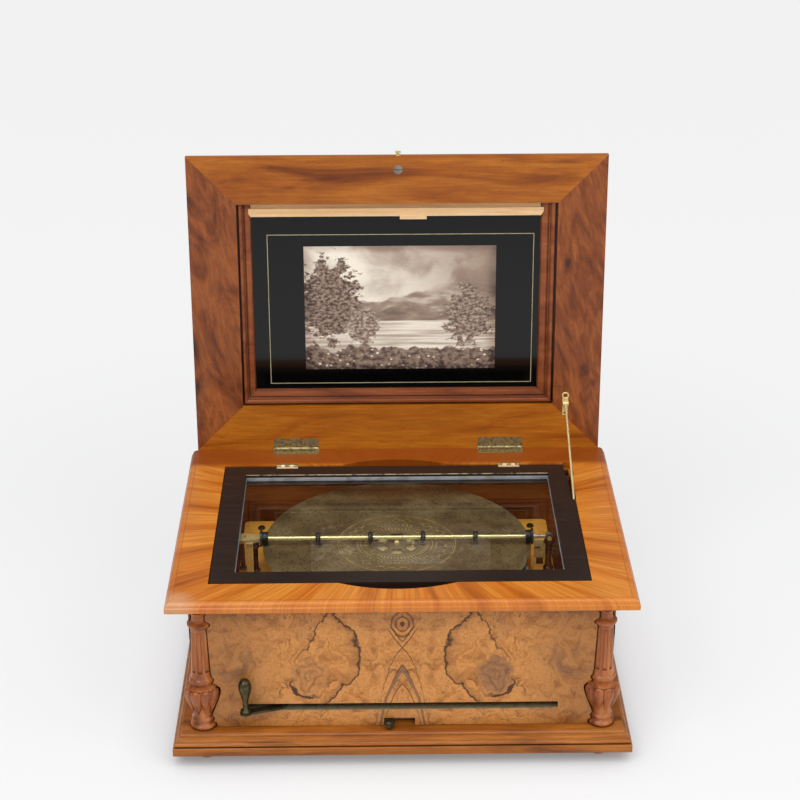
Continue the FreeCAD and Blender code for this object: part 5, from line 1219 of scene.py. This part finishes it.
@dataclass
class GiltLine:
    """The thin gilt line on the mount."""

    left: float = -152.0 * MM
    right: float = 159.5 * MM
    low: float = 79.0 * MM
    high: float = 263.5 * MM
    width: float = 0.9 * MM
    mount: float = 12.7 * MM
    thick: float = 0.12 * MM

    def build(self) -> bpy.types.Object:
        """A rectangle, inset to a line and given its thickness."""
        deselect()
        centre = ((self.left + self.right) / 2, (self.low + self.high) / 2, -self.mount)
        bpy.ops.mesh.primitive_plane_add(size=1, location=centre)
        piece = bpy.context.object
        piece.scale = (self.right - self.left, self.high - self.low, 1)
        bpy.ops.object.transform_apply(location=False, rotation=False, scale=True)
        bpy.ops.object.mode_set(mode="EDIT")
        bpy.ops.mesh.select_all(action="SELECT")
        bpy.ops.mesh.inset(thickness=self.width)
        bpy.ops.mesh.delete(type="FACE")
        bpy.ops.mesh.select_all(action="SELECT")
        bpy.ops.mesh.extrude_region_move(TRANSFORM_OT_translate={"value": (0, 0, self.thick)})
        return settle(piece, "mount_gilt_line", LidPlane().matrix())


@dataclass
class Lid:
    """The lid's woodwork, its picture and its fittings."""

    gilt: GiltLine = field(default_factory=GiltLine)

    def build(self) -> None:
        """Dresses the lid and adds the gilt line."""
        dress_all(
            {
                "lid_front_rail": RAIL_WOOD,
                "lid_rear_rail": REAR_RAIL_WOOD,
                "lid_stiles": STILE_WOOD,
                "lid_top_panel": LID_BACK_WOOD,
                "lid_core_board": PLAIN_WOOD,
                "picture_moulding": MOULDING_WOOD,
                "picture_battens": BARE_WOOD,
                "picture_mount": MOUNT,
                "lid_hinge_leaves": OLD_BRASS,
                "lid_screws": SCREW_STEEL,
                "lid_knob": BRASS,
                "stay_bracket": BRASS,
                "lid_stay_rod": BAR_BRASS,
            }
        )
        low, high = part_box("picture_print")
        across = (low.x - CASE.x, high.x - CASE.x)
        view = LakePrint("sepia_print", tone(250, 240, 222), tone(54, 32, 28), *across, low.z, high.z)
        dress("picture_print", view)
        finish_piece(self.gilt.build(), GILT, "lid")


@dataclass
class Case:
    """The case's woodwork and hinges."""

    notch: tuple[float, float] = (-19.8, 13.4)
    inner_face: float = -150.8

    def build(self) -> None:
        """Dresses the case."""
        dress_all(
            {
                "feet": COLUMN_WOOD,
                "plinth_moulding": BASE_WOOD,
                "bottom_board": PLAIN_WOOD,
                "front_panel": FRONT_BURR,
                "back_panel": LID_BACK_WOOD,
                "side_panels": SIDE_WOOD,
                "corner_posts": FRONT_BURR,
                "corner_columns": COLUMN_WOOD,
                "cornice_moulding": CORNICE_WOOD,
                "top_board": TOP_VENEER,
                "glass_rest_strips": PLAIN_WOOD,
                "hinge_case_leaves": OLD_BRASS,
                "hinge_pins": OLD_BRASS,
                "slot_strip": SILL_STEEL,
            }
        )
        self.notch_plates()


    def notch_plates(self) -> None:
        """Grey plates behind the stop lever's notch, over and under the lever."""
        left, right = self.notch
        for name, low, high in (("notch_plate_low", 37.2, 39.6), ("notch_plate_high", 42.9, 45.8)):
            start = (left, self.inner_face, low)
            end = (right, self.inner_face + 1.0, high)
            block(name, start, end, NOTCH_STEEL, "case", 0.1)


@dataclass
class GlazedFrame:
    """The ebonised frame and its pane, with painted glints along the pane's edges, in millimetres."""

    left: float = -180.0
    right: float = 176.0
    front: float = -115.2
    rear: float = 115.8
    pane: float = 195.5
    face: float = 203.5
    bead: float = 0.9
    # Height of the painted glint at the pane's rear edge.
    glint_band: float = 4.2
    # Width of the painted highlight along the frame's rear arris.
    wear_and_glint: float = 0.5

    def build(self) -> None:
        """Dresses the frame and adds painted glints along the pane's edges, a dark front bead and a painted
        highlight on the rear edge.
        """
        dress_all(
            {
                "glass_frame_rails": EBONY,
                "glass_frame_stiles": EBONY,
                "glass_pane": PANE,
                "glass_hinge_leaves": HINGE_BRASS_AND_GLINT,
            }
        )
        left, right, front, rear = self.left, self.right, self.front, self.rear
        bead, low, top = self.bead, self.pane, self.pane + self.bead
        wear_and_glint = self.face - 2 * self.wear_and_glint
        spans = {
            # The pale grey strips at the rear and sides are painted glints of the pane's edges.
            "rear_pane_glint": ((left, rear - bead, low), (right, rear, low + self.glint_band), PANE_EDGE_GLINT),
            "left_pane_glint": ((left, front, low), (left + bead, rear - bead, top), PANE_EDGE_GLINT),
            "right_pane_glint": ((right - bead, front, low), (right, rear - bead, top), PANE_EDGE_GLINT),
            "front_bead": ((left + bead, front, low), (right - bead, front + bead / 2, top), EBONY),
            # Painted highlight along the frame's rear arris.
            "rear_edge_highlight": ((left, rear - self.wear_and_glint, wear_and_glint), (right, rear, self.face), EDGE_HIGHLIGHT),
        }
        for name, (start, end, finish) in spans.items():
            block(name, start, end, finish, "glass_frame", 0.1)


@dataclass
class Movement:
    """Plates, motor, comb and disc, with the small fittings at the ends of the bar, in millimetres."""

    disc_x: float = -4.0
    bed: float = 140.0
    catch_post_foot: tuple[float, float] = (-179.0, 6.0)
    catch_post_rings: tuple[tuple[float, float], ...] = (
        (4.0, 0.0), (4.0, 1.4), (2.5, 2.6), (2.3, 32.0), (3.2, 34.0), (3.2, 36.0)
    )
    plate_front: float = 11.0
    plate_rear: float = 13.0
    plate_left: float = 152.6
    plate_right: float = 165.4
    plate_low: float = 147.5
    plate_high: float = 170.5
    tail_right: float = 182.0
    tail_drop: float = 5.0
    tail_rise: float = 3.0

    def build(self) -> None:
        """Dresses the movement."""
        dress_all(
            {
                "bedplate": GOLD_PAINT,
                "lower_plate": BRASS,
                "movement_pillars": STEEL,
                "movement_screws": DARK_STEEL,
                "comb": STEEL,
                "comb_supports": GOLD_PAINT,
                "star_wheels": STEEL,
                "spring_barrel": BRASS,
                "side_arbor": BRASS,
                "fly": BRASS,
                "winding_arbor": STEEL,
                "click": STEEL,
                "pivot_studs": STEEL,
                "disc_hub": BRASS,
            }
        )
        shades = (tone(128, 106, 70), tone(98, 78, 50), tone(196, 166, 100))
        dress("music_disc", TuneDisc("tune_disc", *shades, self.disc_x * MM))
        post("catch_post", (*self.catch_post_foot, self.bed), self.catch_post_rings, POST_STEEL)
        self.end_plates()

    def end_plates(self) -> None:
        """The cream plate behind the bar's hinge post, with its foot, its dark mark, and its tail in darker
        old brass as painted shade.
        """
        front, rear, left, right = self.plate_front, self.plate_rear, self.plate_left, self.plate_right
        low, high = self.plate_low, self.plate_high
        tail_low, tail_high = low + self.tail_rise, high - self.tail_drop
        spans = {
            "end_plate": ((left, front, low), (right, rear, high), CREAM_PLATE, "bright_brass", 0.3),
            # Painted shade: the plate's tail behind the post gets darker old brass.
            "end_plate_shaded_tail": (
                (right + 0.2, front, tail_low),
                (self.tail_right, rear, tail_high),
                OLD_BRASS,
                "old_brass",
                0.3,
            ),
            "end_plate_foot": (
                (left + 2.9, front - 1.0, self.bed),
                (right - 1.9, rear + 1.0, low - 0.1),
                POST_STEEL,
                "dark_steel",
                0.3,
            ),
            "end_plate_mark": (
                (left + 1.0, front - 0.3, low + 12.5),
                (left + 7.4, front - 0.05, low + 14.5),
                DARK_MARK,
                "dark_steel",
                0.05,
            ),
        }
        for name, (start, end, finish, slot, soft) in spans.items():
            block(name, start, end, finish, "case", soft)


@dataclass
class Controls:
    """Pressure bar, winding lever and stop lever."""

    def build(self) -> None:
        """Dresses the controls."""
        dress_all(
            {
                "pressure_bar": BAR_BRASS,
                "bar_hinge_end": STEEL,
                "bar_end_plate": BRASS,
                "bar_rollers_left": JAPANNED,
                "bar_rollers_right": JAPANNED,
                "bar_pivot_post": POST_STEEL,
                "bar_pivot_pin": BRASS,
                "bar_rest_post": POST_STEEL,
                "bar_catch_spring": BRASS,
                "winding_lever": DARK_STEEL,
                "lever_grip": GRIP_STEEL,
                "stop_lever": DARK_STEEL,
                "stop_knob": DARK_STEEL,
            }
        )


@dataclass
class Studio:
    """Floor, lamps, sky and camera."""

    lens: float = 88.72
    pitch: float = 26.25
    yaw: float = 0.69
    roll: float = -0.15
    place: Point = (-23.67 * MM, -1957.47 * MM, 1247.69 * MM)
    shift: float = 57.25 / 800
    glow: float = 0.62
    room: float = 0.42

    def build(self) -> None:
        """Sets the stage."""
        self.floor()
        self.sky()
        self.lamp("key", (-1.1, -1.6, 2.2), 1.6, 34.0)
        self.lamp("fill", (1.5, -1.3, 1.7), 1.8, 22.0)
        self.lamp("top", (0.0, -0.2, 2.6), 1.2, 20.0)
        self.camera()
        scene = bpy.context.scene
        scene.view_settings.view_transform = "Standard"

    def floor(self) -> None:
        """A pale floor that brightens towards the eye and still takes a soft shadow, with a contact shadow
        painted into its glow by ambient occlusion.
        """
        deselect()
        bpy.ops.mesh.primitive_plane_add(size=24, location=(CASE.x, CASE.y, -0.0002))
        floor = bpy.context.object
        floor.name = "floor"
        s = Shading("pale_floor")
        s.set(Base_Color=(0.86, 0.87, 0.885), Roughness=0.9, Specular_IOR_Level=0.1)
        x, y, z = s.split(s.place((1, 1, 1)))
        # Painted contact shadow: ambient occlusion dims the floor's glow near the box.
        painted_contact_shadow = s.node("ShaderNodeAmbientOcclusion")
        painted_contact_shadow.inputs["Distance"].default_value = 0.07
        painted_contact_shadow.samples = 8
        glow = s.node("ShaderNodeEmission")
        near = s.level(y, -0.5, 2.6, (0.925, 0.887))
        near = s.times(near, s.level(painted_contact_shadow.outputs["AO"], 0.2, 0.98, (0.4, 1.0)))
        s.feed(glow.inputs["Color"], s.join(near, near, s.times(near, 1.006)))
        seen = s.node("ShaderNodeLightPath").outputs["Is Camera Ray"]
        mixed = s.node("ShaderNodeMixShader")
        share = s.level(s.reach(x, y), 0.3, 1.3, (self.glow, 1.0))
        s.feed(mixed.inputs[0], s.times(seen, share))
        s.feed(mixed.inputs[1], s.shader.outputs["BSDF"])
        s.feed(mixed.inputs[2], glow.outputs["Emission"])
        s.feed(s.output.inputs["Surface"], mixed.outputs["Shader"])
        floor.data.materials.append(s.material)

    def sky(self) -> None:
        """An even pale room, brighter to the eye and dimmer in mirrors than as a lamp."""
        world = bpy.data.worlds.new("pale_room")
        bpy.context.scene.world = world
        world.use_nodes = True
        tree = world.node_tree
        back = tree.nodes["Background"]
        back.inputs["Color"].default_value = (0.93, 0.935, 0.94, 1)
        seen = tree.nodes.new("ShaderNodeLightPath")
        strength: Socket | float = self.room
        for ray, change in (("Is Camera Ray", 0.53), ("Is Glossy Ray", -0.1)):
            step = tree.nodes.new("ShaderNodeMath")
            step.operation = "MULTIPLY_ADD"
            tree.links.new(seen.outputs[ray], step.inputs[0])
            step.inputs[1].default_value = change
            if isinstance(strength, float):
                step.inputs[2].default_value = strength
            else:
                tree.links.new(strength, step.inputs[2])
            strength = step.outputs["Value"]
        tree.links.new(strength, back.inputs["Strength"])

    def lamp(self, name: str, place: Point, size: float, power: float) -> None:
        """A square soft lamp aimed at the box.

        Args:
            name: Its name.
            place: Its place about the case's middle, in metres.
            size: Its side in metres.
            power: Its power in watts.
        """
        data = bpy.data.lights.new(name, "AREA")
        data.shape = "SQUARE"
        data.size = size
        data.energy = power
        lamp = bpy.data.objects.new(name, data)
        bpy.context.scene.collection.objects.link(lamp)
        lamp.location = CASE + Vector(place)
        aim = CASE + Vector((0, 0, 0.2)) - lamp.location
        lamp.rotation_euler = aim.to_track_quat("-Z", "Y").to_euler()

    def camera(self) -> None:
        """The camera where the photograph was taken from."""
        yaw, pitch, roll = (math.radians(a) for a in (self.yaw, self.pitch, self.roll))
        ahead = Vector((math.sin(yaw) * math.cos(pitch), math.cos(yaw) * math.cos(pitch), -math.sin(pitch)))
        right = Vector((math.cos(yaw), -math.sin(yaw), 0))
        up = right.cross(ahead)
        side = right * math.cos(roll) + up * math.sin(roll)
        top = up * math.cos(roll) - right * math.sin(roll)
        data = bpy.data.cameras.new("camera")
        data.sensor_width = 36.0
        data.lens = self.lens
        data.shift_y = self.shift
        data.clip_end = 60.0
        camera = bpy.data.objects.new("camera", data)
        bpy.context.scene.collection.objects.link(camera)
        turned = Matrix((side, top, -ahead)).transposed().to_4x4()
        camera.matrix_world = Matrix.Translation(CASE + Vector(self.place)) @ turned
        bpy.context.scene.camera = camera


def main() -> None:
    """Builds the looks in order."""
    logging.basicConfig(level=logging.INFO, format="%(name)s %(message)s")
    for part in (Case(), Lid(), GlazedFrame(), Movement(), Controls(), Studio()):
        part.build()
        LOG.info("%s done", type(part).__name__)


if __name__ == "__main__":
    main()
